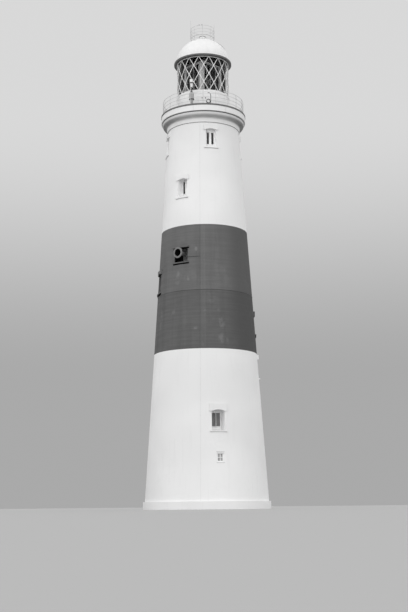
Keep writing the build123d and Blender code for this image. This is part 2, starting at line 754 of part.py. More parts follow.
def half_ellipsoid(radius, rise):
    """Solid dome that stands on the eaves: a smooth curve through points of a quarter ellipse."""
    turns = [radians(QUARTER_TURN) * number / DOME_CURVE_STEPS
             for number in range(DOME_CURVE_STEPS + 1)]
    curve = Spline(*[(radius * cos(turn), rise * sin(turn)) for turn in turns],
                   tangents=[(0, 1), (-1, 0)])
    quarter = make_face(curve + Polyline((0, rise), (0, 0), (radius, 0)))
    return Pos(0, 0, DOME_LEVEL) * revolve(Plane.XZ * quarter, Axis.Z)


def dome():
    """Metal-clad dome with a round hole at the crown for the neck of the ventilator."""
    shell = half_ellipsoid(DOME_RADIUS, DOME_RISE)
    shell -= half_ellipsoid(DOME_RADIUS - DOME_THICKNESS, DOME_RISE - DOME_THICKNESS)
    hole = Cylinder(VENT_NECK_RADIUS + FIT_CLEARANCE, 2 * DOME_RISE)
    return shell - Pos(0, 0, DOME_LEVEL) * hole


def dome_ventilator():
    """Round ventilator on the crown of the dome."""
    crown = DOME_LEVEL + DOME_RISE
    skirt = crown - DOME_THICKNESS
    neck_top = crown + VENT_NECK_HEIGHT
    cap_top = neck_top + VENT_CAP_HEIGHT
    rounding = VENT_CAP_HEIGHT / 2
    outline = Polyline((0, skirt), (VENT_NECK_RADIUS, skirt), (VENT_NECK_RADIUS, neck_top),
                       (VENT_CAP_RADIUS, neck_top), (VENT_CAP_RADIUS, cap_top - rounding))
    shoulder = TangentArc((VENT_CAP_RADIUS, cap_top - rounding),
                          (VENT_CAP_RADIUS - rounding, cap_top), tangent=(0, 1))
    rest = Polyline((VENT_CAP_RADIUS - rounding, cap_top), (0, cap_top), (0, skirt))
    return revolve(Plane.XZ * make_face(outline + shoulder + rest), Axis.Z)


def crown_rail_top():
    """Level of the top bar of the rail round the crown."""
    return DOME_LEVEL + DOME_RISE + CROWN_RAIL_TOP


def crown_rail():
    """Round guard rail on the crown of the dome."""
    top = crown_rail_top()
    bars = [bar_ring(CROWN_RAIL_RADIUS, CROWN_BAR_SIDE, top - CROWN_BAR_SIDE / 2
                     - CROWN_RAIL_SPACING * number) for number in range(CROWN_RAIL_BARS)]
    foot = dome_outline_level(CROWN_RAIL_RADIUS + CROWN_BAR_SIDE) - DOME_THICKNESS
    posts = [square_post(FULL_TURN * number / CROWN_RAIL_POSTS, CROWN_RAIL_RADIUS,
                         CROWN_BAR_SIDE, foot, top) for number in range(CROWN_RAIL_POSTS)]
    rail = bars[0].fuse(*bars[1:], *posts)
    return (rail - half_ellipsoid(DOME_RADIUS, DOME_RISE)).solids()[0]


def aerials():
    """Thin upright aerials clamped outside the crown rail, one at each side."""
    distance = CROWN_RAIL_RADIUS + (CROWN_BAR_SIDE + AERIAL_SIDE) / 2 + FIT_CLEARANCE
    top = crown_rail_top()
    foot = top - CROWN_RAIL_SPACING * (CROWN_RAIL_BARS - 1) - AERIAL_BELOW_RAIL
    left = square_post(-QUARTER_TURN, distance, AERIAL_SIDE, foot, top + LEFT_AERIAL_ABOVE_RAIL)
    right = square_post(QUARTER_TURN, distance, AERIAL_SIDE, foot, top + RIGHT_AERIAL_ABOVE_RAIL)
    return Compound(children=[left, right])


def dome_handrail():
    """Curved handrail up the side of the dome, held off it by short stays."""
    plane = slice_plane(DOME_HANDRAIL_BEARING)
    outer = DOME_RADIUS + DOME_HANDRAIL_STANDOFF
    rise = DOME_RISE + DOME_HANDRAIL_STANDOFF
    side = DOME_HANDRAIL_SIDE
    band = Ellipse(outer, rise) - Ellipse(outer - side, rise - side)
    sweep = 2 * EAVES_RADIUS
    low = radians(DOME_HANDRAIL_FROM)
    high = radians(DOME_HANDRAIL_TO)
    wedge = make_face(Polyline((0, 0), (sweep * cos(low), sweep * sin(low)),
                               (sweep * cos(high), sweep * sin(high)), close=True))
    rail_face = Pos(0, DOME_LEVEL) * (band & wedge)
    rail = extrude(plane * rail_face, side / 2, both=True)
    span = DOME_HANDRAIL_TO - DOME_HANDRAIL_FROM
    for number in range(DOME_HANDRAIL_STAYS):
        angle = DOME_HANDRAIL_FROM + span * (number + 1) / (DOME_HANDRAIL_STAYS + 1)
        stay_face = Rot(0, 0, angle) * Pos(DOME_RADIUS, 0) * Rectangle(2 * DOME_HANDRAIL_STANDOFF,
                                                                    side)
        rail += extrude(plane * (Pos(0, DOME_LEVEL) * stay_face), side / 2, both=True)
    outside = half_ellipsoid(outer, rise)
    rail &= outside
    return (rail - half_ellipsoid(DOME_RADIUS, DOME_RISE)).solids().sort_by(SortBy.VOLUME)[-1]


def lens_square(side, bottom, top):
    """Square prism on the axis with one corner to the front."""
    return (Rot(0, 0, LENS_BEARING) * Pos(0, 0, (bottom + top) / 2)
            * Box(side, side, top - bottom))


def lens_pedestal():
    """Round pedestal with the square table that the lens turns on."""
    table = GALLERY_LEVEL + LENS_PEDESTAL_HEIGHT
    column = Pos(0, 0, GALLERY_LEVEL) * Cylinder(LENS_PEDESTAL_RADIUS, LENS_PEDESTAL_HEIGHT,
                                                 align=(Align.CENTER, Align.CENTER, Align.MIN))
    return column + lens_square(LENS_CORNER_RADIUS * sqrt(2), table, table + LENS_TABLE_THICKNESS)


def lens_levels():
    """Bottom and top level of the lens."""
    bottom = GALLERY_LEVEL + LENS_PEDESTAL_HEIGHT + LENS_TABLE_THICKNESS
    return bottom, bottom + LENS_HEIGHT


def lens_frame():
    """Four corner posts with a rail round the foot and the head."""
    bottom, top = lens_levels()
    side = LENS_CORNER_RADIUS * sqrt(2)
    frame = lens_square(side, bottom, top)
    frame -= lens_square(side - 2 * LENS_POST_SIDE, bottom, top)
    open_bottom = bottom + LENS_RAIL_HEIGHT
    open_top = top - LENS_RAIL_HEIGHT
    way = Pos(0, 0, (open_bottom + open_top) / 2) * Box(2 * side, side - 2 * LENS_POST_SIDE,
                                                        open_top - open_bottom)
    across = Rot(0, 0, LENS_BEARING)
    return frame - across * way - Rot(0, 0, QUARTER_TURN) * across * way


def lens_panels():
    """Four flat panels of prisms between the posts."""
    bottom, top = lens_levels()
    side = LENS_CORNER_RADIUS * sqrt(2)
    height = top - bottom - 2 * LENS_RAIL_HEIGHT
    panel = Pos(0, side / 2 - LENS_POST_SIDE / 2, (bottom + top) / 2) * Box(
        side - 2 * LENS_POST_SIDE, LENS_PANEL_THICKNESS, height)
    return Compound(children=[Rot(0, 0, LENS_BEARING + FULL_TURN * number / LENS_SIDES) * panel
                              for number in range(LENS_SIDES)])


def turned_stack(plane, stages):
    """Round stages one on another: each is (lower radius, upper radius, height)."""
    level = 0
    outline = [(0, 0)]
    for low_radius, high_radius, height in stages:
        if outline[-1] != (low_radius, level):
            outline.append((low_radius, level))
        level += height
        outline.append((high_radius, level))
    outline.append((0, level))
    return plane * turned(outline)


def lamp_pedestal():
    """Cast pedestal of the small lamp on the gallery."""
    stages = [(LAMP_FOOT_RADIUS, LAMP_FOOT_RADIUS, LAMP_FOOT_HEIGHT),
              (LAMP_STRAP_RADIUS, LAMP_STRAP_RADIUS, LAMP_STRAP_HEIGHT),
              (LAMP_DRUM_RADIUS, LAMP_DRUM_RADIUS, LAMP_DRUM_HEIGHT),
              (LAMP_COLLAR_RADIUS, LAMP_CONE_BASE_RADIUS, LAMP_COLLAR_HEIGHT),
              (LAMP_CONE_BASE_RADIUS, LAMP_CONE_TOP_RADIUS, LAMP_CONE_HEIGHT),
              (LAMP_NECK_RADIUS, LAMP_NECK_RADIUS, LAMP_NECK_HEIGHT)]
    return turned_stack(standing_at(LAMP_BEARING, LAMP_DISTANCE, GALLERY_LEVEL), stages)


def lamp_head():
    """Two stacked round lens drums with a ring between them."""
    level = (GALLERY_LEVEL + LAMP_FOOT_HEIGHT + LAMP_STRAP_HEIGHT + LAMP_DRUM_HEIGHT
             + LAMP_COLLAR_HEIGHT + LAMP_CONE_HEIGHT + LAMP_NECK_HEIGHT)
    stages = [(LAMP_LOWER_LENS_RADIUS, LAMP_LOWER_LENS_RADIUS, LAMP_LOWER_LENS_HEIGHT),
              (LAMP_RING_RADIUS, LAMP_RING_RADIUS, LAMP_RING_HEIGHT),
              (LAMP_UPPER_LENS_RADIUS, LAMP_UPPER_LENS_RADIUS, LAMP_UPPER_LENS_HEIGHT)]
    return turned_stack(standing_at(LAMP_BEARING, LAMP_DISTANCE, level), stages)


def davit():
    """Thin post with a crook at its top, which bends sideways."""
    plane = facing(DAVIT_BEARING, DAVIT_DISTANCE)
    foot = GALLERY_LEVEL
    bend = foot + DAVIT_HEIGHT
    path = Line((0, foot), (0, bend)) + CenterArc((-DAVIT_CROOK_RADIUS, bend), DAVIT_CROOK_RADIUS,
                                                  0, 180)
    start = Plane(origin=plane.from_local_coords((0, foot, 0)), z_dir=(0, 0, 1))
    return sweep(start * Circle(DAVIT_RADIUS), path=plane * path)


def floodlight():
    """Round lamp body clamped to the side of the davit's post, facing out."""
    across = FLOODLIGHT_RADIUS + DAVIT_RADIUS + FIT_CLEARANCE
    body = Cylinder(FLOODLIGHT_RADIUS, FLOODLIGHT_DEPTH)
    centre = Pos(-across, GALLERY_LEVEL + FLOODLIGHT_LEVEL, 0)
    return facing(DAVIT_BEARING, DAVIT_DISTANCE) * centre * body


def build():
    """Make every piece and return them by name."""
    plinth = ring(FOOT_BORE_RADIUS + FLOOR_BEARING, FOOT_RADIUS + PLINTH_PROJECTION, 0,
                  PLINTH_HEIGHT)
    base_wall = wall_stage(PLINTH_HEIGHT, BASE_WALL_TOP) - small_window_cut() - entrance_cut()
    lower_wall = wall_stage(BASE_WALL_TOP, LOWER_WALL_TOP)
    middle_wall = wall_stage(LOWER_WALL_TOP, BAND_BOTTOM)
    band_lower = wall_stage(BAND_BOTTOM, BAND_STRING)
    band_upper = wall_stage(BAND_STRING, BAND_TOP) - horn_cut()
    upper_wall = wall_stage(BAND_TOP, SERVICE_LEDGE)
    service_wall = service_room_stage()
    shaft = shaft_core()
    sills = [window_sill(window, shaft) for window in STAIR_WINDOWS + SERVICE_WINDOWS]
    heads = [window_head(window, shaft) for window in SERVICE_WINDOWS + STAIR_WINDOWS]
    return {
        "plinth_course": plinth,
        "ground_floor": ground_floor(),
        "entrance_steps": entrance_steps(),
        "entrance_frame": entrance_frame(),
        "entrance_door": entrance_door(),
        "base_wall": base_wall,
        "lower_wall": lower_wall,
        "middle_wall": middle_wall,
        "band_lower_wall": band_lower,
        "band_upper_wall": band_upper,
        "upper_wall": upper_wall,
        "service_room_wall": service_wall,
        "service_room_floor": service_floor(),
        "window_sills": Compound(children=sills),
        "window_heads": Compound(children=heads),
        "service_window_frames": Compound(children=[window_frame(w) for w in SERVICE_WINDOWS]),
        "service_window_glass": Compound(children=[window_pane(w) for w in SERVICE_WINDOWS]),
        "stair_window_frames": Compound(children=[small_window_frame()]
                                        + [window_frame(w) for w in STAIR_WINDOWS]),
        "stair_window_glass": Compound(children=[small_window_pane()]
                                       + [window_pane(w) for w in STAIR_WINDOWS]),
        "fog_horn": fog_horn(),
        "fog_horn_panel": horn_panel(),
        "fog_horn_surround": Compound(children=[
            horn_course(band_upper, HORN_RECESS_TOP),
            horn_course(band_upper, HORN_RECESS_BOTTOM - HORN_SURROUND_HEIGHT)]),
        "neck_course": ring(SERVICE_BORE_RADIUS, NECK_COURSE_RADIUS, NECK_LEVEL, CAVETTO_LEVEL),
        "cavetto_course": cavetto_course(),
        "gallery_fascia": ring(SERVICE_BORE_RADIUS, FASCIA_RADIUS, FASCIA_LEVEL, DECK_LEVEL),
        "gallery_deck": gallery_deck(),
        "gallery_railing": gallery_railing(),
        "gallery_lamp_pedestal": lamp_pedestal(),
        "gallery_lamp_head": lamp_head(),
        "gallery_davit": davit(),
        "gallery_floodlight": floodlight(),
        "murette_wall": murette(),
        "murette_door": murette_door(),
        "lantern_cill": ring(MURETTE_BORE_RADIUS - CILL_INNER_LAP, MURETTE_RADIUS + CILL_PROJECTION,
                             CILL_LEVEL, GLAZING_LEVEL),
        "lantern_glass": ring(GLASS_RADIUS - GLASS_THICKNESS, GLASS_RADIUS, GLAZING_LEVEL,
                              EAVES_LEVEL),
        "lantern_lattice": lantern_lattice(),
        "eaves_gutter": ring(GLASS_RADIUS - EAVES_BEARING, EAVES_RADIUS, EAVES_LEVEL, DOME_LEVEL),
        "dome": dome(),
        "dome_ventilator": dome_ventilator(),
        "dome_handrail": dome_handrail(),
        "crown_guard_rail": crown_rail(),
        "crown_aerials": aerials(),
        "lens_pedestal": lens_pedestal(),
        "lens_frame": lens_frame(),
        "lens_panels": lens_panels(),
    }


os.makedirs("parts", exist_ok=True)
for name, piece in build().items():
    export_step(piece, f"parts/{name}.step")
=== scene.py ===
"""Looks of the half-scale lighthouse: paint, joinery, lantern, lens and gallery fittings.

Metres, +Z up, origin on the tower's axis at ground level. Bearings are in degrees about the
axis: bearing 0 looks along -Y, and they grow towards +X.
"""
import json
from collections import namedtuple

import bmesh
import bpy
import numpy as np
from mathutils import Matrix, Vector


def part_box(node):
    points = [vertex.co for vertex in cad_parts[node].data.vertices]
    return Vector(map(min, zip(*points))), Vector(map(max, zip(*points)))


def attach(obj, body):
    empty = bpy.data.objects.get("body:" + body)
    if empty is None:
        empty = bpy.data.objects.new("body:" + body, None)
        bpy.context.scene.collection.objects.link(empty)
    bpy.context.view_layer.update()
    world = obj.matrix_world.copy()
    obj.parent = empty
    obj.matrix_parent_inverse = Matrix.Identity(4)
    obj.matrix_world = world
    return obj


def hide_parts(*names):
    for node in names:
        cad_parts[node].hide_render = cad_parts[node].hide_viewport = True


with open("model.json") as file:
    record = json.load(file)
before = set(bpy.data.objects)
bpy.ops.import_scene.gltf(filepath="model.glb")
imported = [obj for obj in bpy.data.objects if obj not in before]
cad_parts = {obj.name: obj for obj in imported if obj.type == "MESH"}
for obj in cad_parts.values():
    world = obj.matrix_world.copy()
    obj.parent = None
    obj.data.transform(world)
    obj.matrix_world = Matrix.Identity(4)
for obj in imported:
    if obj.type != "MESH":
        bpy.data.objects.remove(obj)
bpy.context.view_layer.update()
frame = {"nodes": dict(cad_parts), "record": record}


# Places read from the frame

def low(node):
    return np.array(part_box(node)[0])


def high(node):
    return np.array(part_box(node)[1])


def radius_of(node):
    """Outer radius of a round node: half its width."""
    return (high(node)[0] - low(node)[0]) / 2


def middle_and_height(node):
    bottom, top = low(node)[2], high(node)[2]
    return (bottom + top) / 2, top - bottom


GALLERY_LEVEL = high("gallery_deck")[2]
CILL_LEVEL = low("lantern_cill")[2]
GLAZING_LEVEL = low("lantern_glass")[2]
GLAZING_TOP = high("lantern_glass")[2]
GLASS_RADIUS = radius_of("lantern_glass")
MURETTE_RADIUS = radius_of("murette_wall")
EAVES_RADIUS = radius_of("eaves_gutter")
DOME_LEVEL = high("eaves_gutter")[2]
DOME_RADIUS = radius_of("dome")
FASCIA_LEVEL = low("gallery_fascia")[2]
FASCIA_TOP = high("gallery_fascia")[2]
FASCIA_RADIUS = radius_of("gallery_fascia")
NECK_LEVEL = low("neck_course")[2]
HOLLOW_LEVEL = high("neck_course")[2]
PLINTH_TOP = high("plinth_course")[2]
STRING_LEVEL = low("band_upper_wall")[2]
BAND_FOOT = low("band_lower_wall")[2]
BAND_HEAD = high("band_upper_wall")[2]

# The shaft's radius at the foot of each stage, and where its last stage meets the neck course
STAGES = ["base_wall", "lower_wall", "middle_wall", "band_lower_wall", "band_upper_wall",
          "upper_wall", "service_room_wall"]
FOOT_RADIUS = 2.460
NECK_FACE_RADIUS = 1.480
SHAFT_HOLLOW = 0.008
STAGE_LEVELS = np.array([low(name)[2] for name in STAGES] + [NECK_LEVEL])
STAGE_RADII = np.array([radius_of(name) for name in STAGES] + [NECK_FACE_RADIUS])


def wall_radius(level):
    """Radius of the wall's face: straight between the feet of its stages."""
    return np.interp(level, STAGE_LEVELS, STAGE_RADII)


def shaft_radius(level):
    """Radius of the shaft's line: an even taper with a slight hollow in the middle."""
    share = level / NECK_LEVEL
    taper = FOOT_RADIUS + (NECK_FACE_RADIUS - FOOT_RADIUS) * share
    return taper - SHAFT_HOLLOW * (1 - (2 * share - 1) ** 2)


# Places on the tower

def turn_of(bearing):
    """Unit vectors to the right of a bearing and outwards along it."""
    angle = np.radians(bearing)
    right = np.stack([np.cos(angle), np.sin(angle), np.zeros_like(angle)], -1)
    outward = np.stack([np.sin(angle), -np.cos(angle), np.zeros_like(angle)], -1)
    return right, outward


def on_circle(radius, bearing, level):
    """Points (radius sin b, -radius cos b, level) for arrays of bearings b."""
    radius, bearing, level = np.broadcast_arrays(radius, np.asarray(bearing, float), level)
    angle = np.radians(bearing)
    return np.stack([radius * np.sin(angle), -radius * np.cos(angle), level], -1)


def facing(points, bearing, distance, level, across=0.0):
    """Move points (across, up, outwards) on to the tower: across runs to the right, up is +Z."""
    right, outward = turn_of(bearing)
    up = np.array([0.0, 0.0, 1.0])
    return ((points[..., :1] + across) * right + (points[..., 1:2] + level) * up
            + (points[..., 2:] + distance) * outward)


def standing(points, bearing, distance, level):
    """Move points with their own +Z up to a place on a bearing."""
    return points + turn_of(bearing)[1] * distance + np.array([0.0, 0.0, level])


def evenly_round(count, radius, height):
    """Places round an axis: (radius cos t, radius sin t, height) for even steps of t."""
    turn = 2 * np.pi * np.arange(count) / count
    return np.stack([radius * np.cos(turn), radius * np.sin(turn), np.full(count, height)], -1)


def even_bearings(count):
    return [360 * number / count for number in range(count)]


# Shapes: every surface is a grid of points, worked out as whole arrays

def quads(points, wrap_rows=False, wrap_columns=False):
    """Vertices and four-sided faces of a grid of points; a wrapped side joins back to its start."""
    rows, columns = points.shape[:2]
    i = np.arange(rows if wrap_rows else rows - 1)[:, None]
    j = np.arange(columns if wrap_columns else columns - 1)[None, :]
    next_i, next_j = (i + 1) % rows, (j + 1) % columns
    faces = np.stack([i * columns + j, next_i * columns + j, next_i * columns + next_j,
                      i * columns + next_j], -1)
    return points.reshape(-1, 3), faces.reshape(-1, 4)


def turned(profile, around):
    """Surface of revolution: each (radius r, height h) sweeps (r cos t, r sin t, h)."""
    profile = np.asarray(profile, float)
    angle = np.linspace(0, 2 * np.pi, around, endpoint=False)[:, None]
    radius, height = profile[:, 0], profile[:, 1]
    return np.stack([radius * np.cos(angle), radius * np.sin(angle),
                     np.broadcast_to(height, (around, len(profile)))], -1)


def lathe(profile, around):
    """Round piece on the tower's own axis."""
    return quads(turned(profile, around), wrap_rows=True)


def stud(profile, around, bearing, distance, level, across=0.0):
    """Round piece whose own axis points outwards."""
    return quads(facing(turned(profile, around), bearing, distance, level, across), wrap_rows=True)


def pillar(profile, around, bearing, distance, level, shift=0.0):
    """Round piece that stands upright at a place on a bearing."""
    return quads(standing(turned(profile, around) + shift, bearing, distance, level),
                 wrap_rows=True)


def swept(path, section, side, closed=False, scale=1.0):
    """Section (a, b) carried along a path: point + a * (tangent x side) + b * side, squared up."""
    path = np.asarray(path, float)
    if closed:
        tangent = np.roll(path, -1, 0) - np.roll(path, 1, 0)
    else:
        tangent = np.gradient(path, axis=0)
    tangent /= np.linalg.norm(tangent, axis=1, keepdims=True)
    across = np.cross(tangent, np.broadcast_to(side, path.shape))
    across /= np.linalg.norm(across, axis=1, keepdims=True)
    up = np.cross(across, tangent)
    section = np.asarray(section, float)
    size = np.broadcast_to(scale, len(path))[:, None, None]
    points = (path[:, None] + size * (section[None, :, :1] * across[:, None]
                                      + section[None, :, 1:] * up[:, None]))
    if not closed:
        first = np.broadcast_to(points[0].mean(0), points[0].shape)[None]
        last = np.broadcast_to(points[-1].mean(0), points[-1].shape)[None]
        points = np.concatenate([first, points, last])
    return quads(points, wrap_rows=closed, wrap_columns=True)


def hoop(radius, level, section, count=96):
    """Section carried right round the tower at one level."""
    bearing = np.linspace(0, 360, count, endpoint=False)
    return swept(on_circle(radius, bearing, level), section, on_circle(1.0, bearing, 0.0),
                 closed=True)


def arc_bar(radius, bearing, half_width, level, section):
    """Section laid level along the wall, as far as a half width either side of a bearing."""
    half = np.degrees(half_width / radius)
    turn = np.linspace(bearing - half, bearing + half, 12)
    return swept(on_circle(radius, turn, level), section, on_circle(1.0, turn, 0.0))


def straight(start, end):
    """Path of four points between two places."""
    share = np.linspace(0, 1, 4)[:, None]
    return np.asarray(start) * (1 - share) + np.asarray(end) * share


def strut(section, bearing, distance, bottom, top, across=0.0, scale=1.0, side=None):
    """Section carried up a vertical line on a bearing."""
    ends = facing(np.array([[0.0, bottom, 0.0], [0.0, top, 0.0]]), bearing, distance, 0.0, across)
    outward = turn_of(bearing)[1] if side is None else side
    return swept(straight(*ends), section, outward, scale=scale)


def circle(radius, sides=8):
    """Round section."""
    angle = np.linspace(0, 2 * np.pi, sides, endpoint=False)
    return np.stack([radius * np.cos(angle), radius * np.sin(angle)], -1)


def bar(width, depth, corner):
    """Rectangular section with its four corners cut at 45 degrees."""
    w, d = width / 2, depth / 2
    return np.array([(w, -d + corner), (w, d - corner), (w - corner, d), (-w + corner, d),
                     (-w, d - corner), (-w, -d + corner), (-w + corner, -d), (w - corner, -d)])


def block(size, bearing, distance, level, across=0.0):
    """Upright block of (width, height, depth, chamfer) as rings of an eight-sided outline."""
    width, height, depth, corner = size
    half = depth / 2

    def ring(inset, out):
        edge = bar(width - 2 * inset, height - 2 * inset, max(corner - inset, corner * 0.2))
        return np.concatenate([edge, np.full((8, 1), out)], 1)

    back, front = (np.tile([0.0, 0.0, out], (8, 1)) for out in (-half, half))
    rings = np.stack([back, ring(corner, -half), ring(0.0, corner - half),
                      ring(0.0, half - corner), ring(corner, half), front])
    return quads(facing(rings, bearing, distance, level, across), wrap_columns=True)


def mitred_frame(width, height, section, bearing, distance, level, across=0.0):
    """Section of (inset, outwards) points carried round an upright rectangle."""
    inset, out = np.asarray(section, float).T
    signs = np.array([(1, 1), (-1, 1), (-1, -1), (1, -1)], float)
    x = signs[:, :1] * (width / 2 - inset)
    y = signs[:, 1:] * (height / 2 - inset)
    corners = np.stack([x, y, np.broadcast_to(out, x.shape)], -1)
    return quads(facing(corners, bearing, distance, level, across), wrap_rows=True,
                 wrap_columns=True)


def button(radius, rise):
    """Low round head: radius sin a, rise cos a, closed by its base."""
    angle = np.linspace(0, np.pi / 2, 4)
    head = np.stack([radius * np.sin(angle), rise * np.cos(angle)], -1)
    return np.concatenate([head, [(0.0, 0.0)]])[::-1]


def ball(radius):
    """Round ball: radius sin a, -radius cos a."""
    angle = np.linspace(0, np.pi, 7)
    return np.stack([radius * np.sin(angle), -radius * np.cos(angle)], -1)


def put_in_scene(name, data):
    """Object at the origin, unturned and unscaled."""
    made = bpy.data.objects.new(name, data)
    bpy.context.scene.collection.objects.link(made)
    return made


WELD = 1e-6


def piece(name, surfaces, material, slot, *replaces, smooth_angle=40.0):
    """Join surfaces into one mesh on the tower, with its material, and hide the nodes it covers; the
    slot is not used.
    """
    starts = np.cumsum([0] + [len(points) for points, _ in surfaces])
    vertices = np.concatenate([points for points, _ in surfaces])
    faces = np.concatenate([cells + start for (_, cells), start in zip(surfaces, starts)])
    mesh = bpy.data.meshes.new(name)
    mesh.vertices.add(len(vertices))
    mesh.vertices.foreach_set("co", vertices.astype(np.float32).ravel())
    mesh.loops.add(faces.size)
    mesh.loops.foreach_set("vertex_index", faces.astype(np.int32).ravel())
    mesh.polygons.add(len(faces))
    mesh.polygons.foreach_set("loop_start", np.arange(0, faces.size, 4, dtype=np.int32))
    mesh.update(calc_edges=True)
    shape = bmesh.new()
    shape.from_mesh(mesh)
    bmesh.ops.remove_doubles(shape, verts=shape.verts, dist=WELD)
    bmesh.ops.dissolve_degenerate(shape, edges=shape.edges, dist=WELD)
    bmesh.ops.recalc_face_normals(shape, faces=shape.faces)
    shape.to_mesh(mesh)
    shape.free()
    mesh.shade_smooth()
    mesh.set_sharp_from_angle(angle=np.radians(smooth_angle))
    mesh.materials.append(material)
    made = put_in_scene(name, mesh)
    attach(made, "root")
    if replaces:
        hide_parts(*replaces)


# Shader effects shared by several finishes

def grey(value):
    return (value, value, value, 1.0)


class Nodes:
    """Adds and links the nodes of one tree; a value is a number, a colour or a socket."""

    def __init__(self, tree):
        self.tree = tree

    def feed(self, socket, value):
        if isinstance(value, bpy.types.NodeSocket):
            self.tree.links.new(value, socket)
        else:
            socket.default_value = value

    def add(self, kind, inputs=None, **settings):
        node = self.tree.nodes.new(kind)
        for key, value in settings.items():
            setattr(node, key, value)
        for key, value in (inputs or {}).items():
            self.feed(node.inputs[key], value)
        return node

    def coordinates(self):
        return self.add("ShaderNodeTexCoord").outputs["Object"]

    def split(self, vector):
        return self.add("ShaderNodeSeparateXYZ", {"Vector": vector}).outputs

    def outward(self, place):
        """Level unit vector away from the tower's axis."""
        flat = self.add("ShaderNodeVectorMath", {0: place, 1: (1.0, 1.0, 0.0)},
                        operation="MULTIPLY").outputs[0]
        return self.add("ShaderNodeVectorMath", {0: flat}, operation="NORMALIZE").outputs[0]

    def noise(self, vector, scale, detail=4.0, roughness=0.55, stretch=None):
        """Noise, whose coordinates may be scaled by a different amount on each axis."""
        if stretch:
            vector = self.add("ShaderNodeMapping", {"Vector": vector, "Scale": stretch}).outputs[0]
        return self.add("ShaderNodeTexNoise", {"Vector": vector, "Scale": scale, "Detail": detail,
                                               "Roughness": roughness}).outputs["Fac"]

    def ramp(self, value, start, end, out_start=0.0, out_end=1.0):
        """Smooth step from one value to another."""
        return self.add("ShaderNodeMapRange",
                        {"Value": value, "From Min": start, "From Max": end,
                         "To Min": out_start, "To Max": out_end},
                        interpolation_type="SMOOTHSTEP").outputs["Result"]

    def within(self, value, start, end, soft):
        """1 between two limits, easing to 0 over a soft edge on each side."""
        return self.times(self.ramp(value, start - soft, start + soft),
                          self.ramp(value, end + soft, end - soft))

    def maths(self, operation, first, second=0.0):
        return self.add("ShaderNodeMath", {0: first, 1: second}, operation=operation).outputs[0]

    def times(self, first, *others):
        for other in others:
            first = self.maths("MULTIPLY", first, other)
        return first

    def plus(self, first, second):
        return self.maths("ADD", first, second)

    def blend(self, factor, first, second, mode="MIX"):
        return self.add("ShaderNodeMix", {0: factor, 6: first, 7: second}, data_type="RGBA",
                        blend_type=mode).outputs[2]

    def tinted(self, colour, tone):
        """Colour times a grey tone."""
        plain = self.add("ShaderNodeCombineColor", {0: tone, 1: tone, 2: tone}).outputs[0]
        return self.blend(1.0, colour, plain, "MULTIPLY")

    def group(self, effect_group, values=None):
        return self.add("ShaderNodeGroup", values, node_tree=effect_group).outputs

    def shader(self):
        return self.tree.nodes["Principled BSDF"].inputs


def effect(name, inputs, outputs):
    """Start a node group from input labels with their defaults, and output labels."""
    tree = bpy.data.node_groups.new(name, "ShaderNodeTree")
    for label, default in inputs.items():
        kind = "NodeSocketColor" if isinstance(default, tuple) else "NodeSocketFloat"
        socket = tree.interface.new_socket(label, in_out="INPUT", socket_type=kind)
        socket.default_value = default
    for label in outputs:
        kind = "NodeSocketColor" if label == "Color" else "NodeSocketFloat"
        tree.interface.new_socket(label, in_out="OUTPUT", socket_type=kind)
    return Nodes(tree), tree.nodes.new("NodeGroupInput").outputs


def put_out(nodes, **values):
    """Send values to the group's outputs of the same names, and give back its tree."""
    result = nodes.tree.nodes.new("NodeGroupOutput").inputs
    for label, socket in values.items():
        nodes.tree.links.new(socket, result[label])
    return nodes.tree


WORKED = ("Color", "Roughness", "Height")


def weathered_paint_effect():
    """Paint on render: cloudy patches, rain streaks that run down, and a sand-float grain."""
    nodes, given = effect("weathered_paint", {
        "Paint": grey(0.8), "Patch": grey(0.8), "Stain": grey(0.3), "Patch Amount": 0.5,
        "Streak Amount": 0.3, "Patch Size": 1.0, "Lift Amount": 0.0, "Roughness": 0.7}, WORKED)
    place = nodes.coordinates()
    patch_scale = nodes.maths("DIVIDE", 1.1, given["Patch Size"])
    cloud = nodes.noise(place, patch_scale, 6.0, 0.62, stretch=(1.0, 1.0, 0.8))
    fine_cloud = nodes.noise(place, 7.0, 5.0, 0.6)
    patch = nodes.times(nodes.ramp(cloud, 0.50, 0.68), nodes.ramp(fine_cloud, 0.36, 0.6),
                        given["Patch Amount"])
    drift = nodes.ramp(nodes.noise(place, 0.28, 2.0), 0.3, 0.7, 0.94, 1.04)
    streak = nodes.noise(place, 1.6, 5.0, 0.6, stretch=(5.0, 5.0, 0.16))
    thin = nodes.noise(place, 1.0, 3.0, stretch=(22.0, 22.0, 0.5))
    streak = nodes.times(nodes.ramp(streak, 0.54, 0.76), nodes.ramp(thin, 0.4, 0.62, 0.4, 1.0),
                         given["Streak Amount"])
    lift = nodes.noise(place, 1.3, 4.0, 0.7, stretch=(0.5, 0.5, 9.0))
    lift = nodes.times(nodes.ramp(lift, 0.4, 0.62), given["Lift Amount"])
    colour = nodes.blend(patch, given["Paint"], given["Patch"])
    colour = nodes.blend(lift, colour, given["Patch"])
    colour = nodes.blend(streak, colour, given["Stain"])
    grain = nodes.noise(place, 90.0, 3.0, 0.6)
    trowel = nodes.noise(place, 6.0, 4.0, stretch=(1.0, 1.0, 2.2))
    return put_out(
        nodes, Color=nodes.tinted(colour, drift), Height=nodes.plus(nodes.times(grain, 0.35), trowel),
        Roughness=nodes.plus(given["Roughness"], nodes.ramp(fine_cloud, 0.3, 0.7, -0.06, 0.08)))


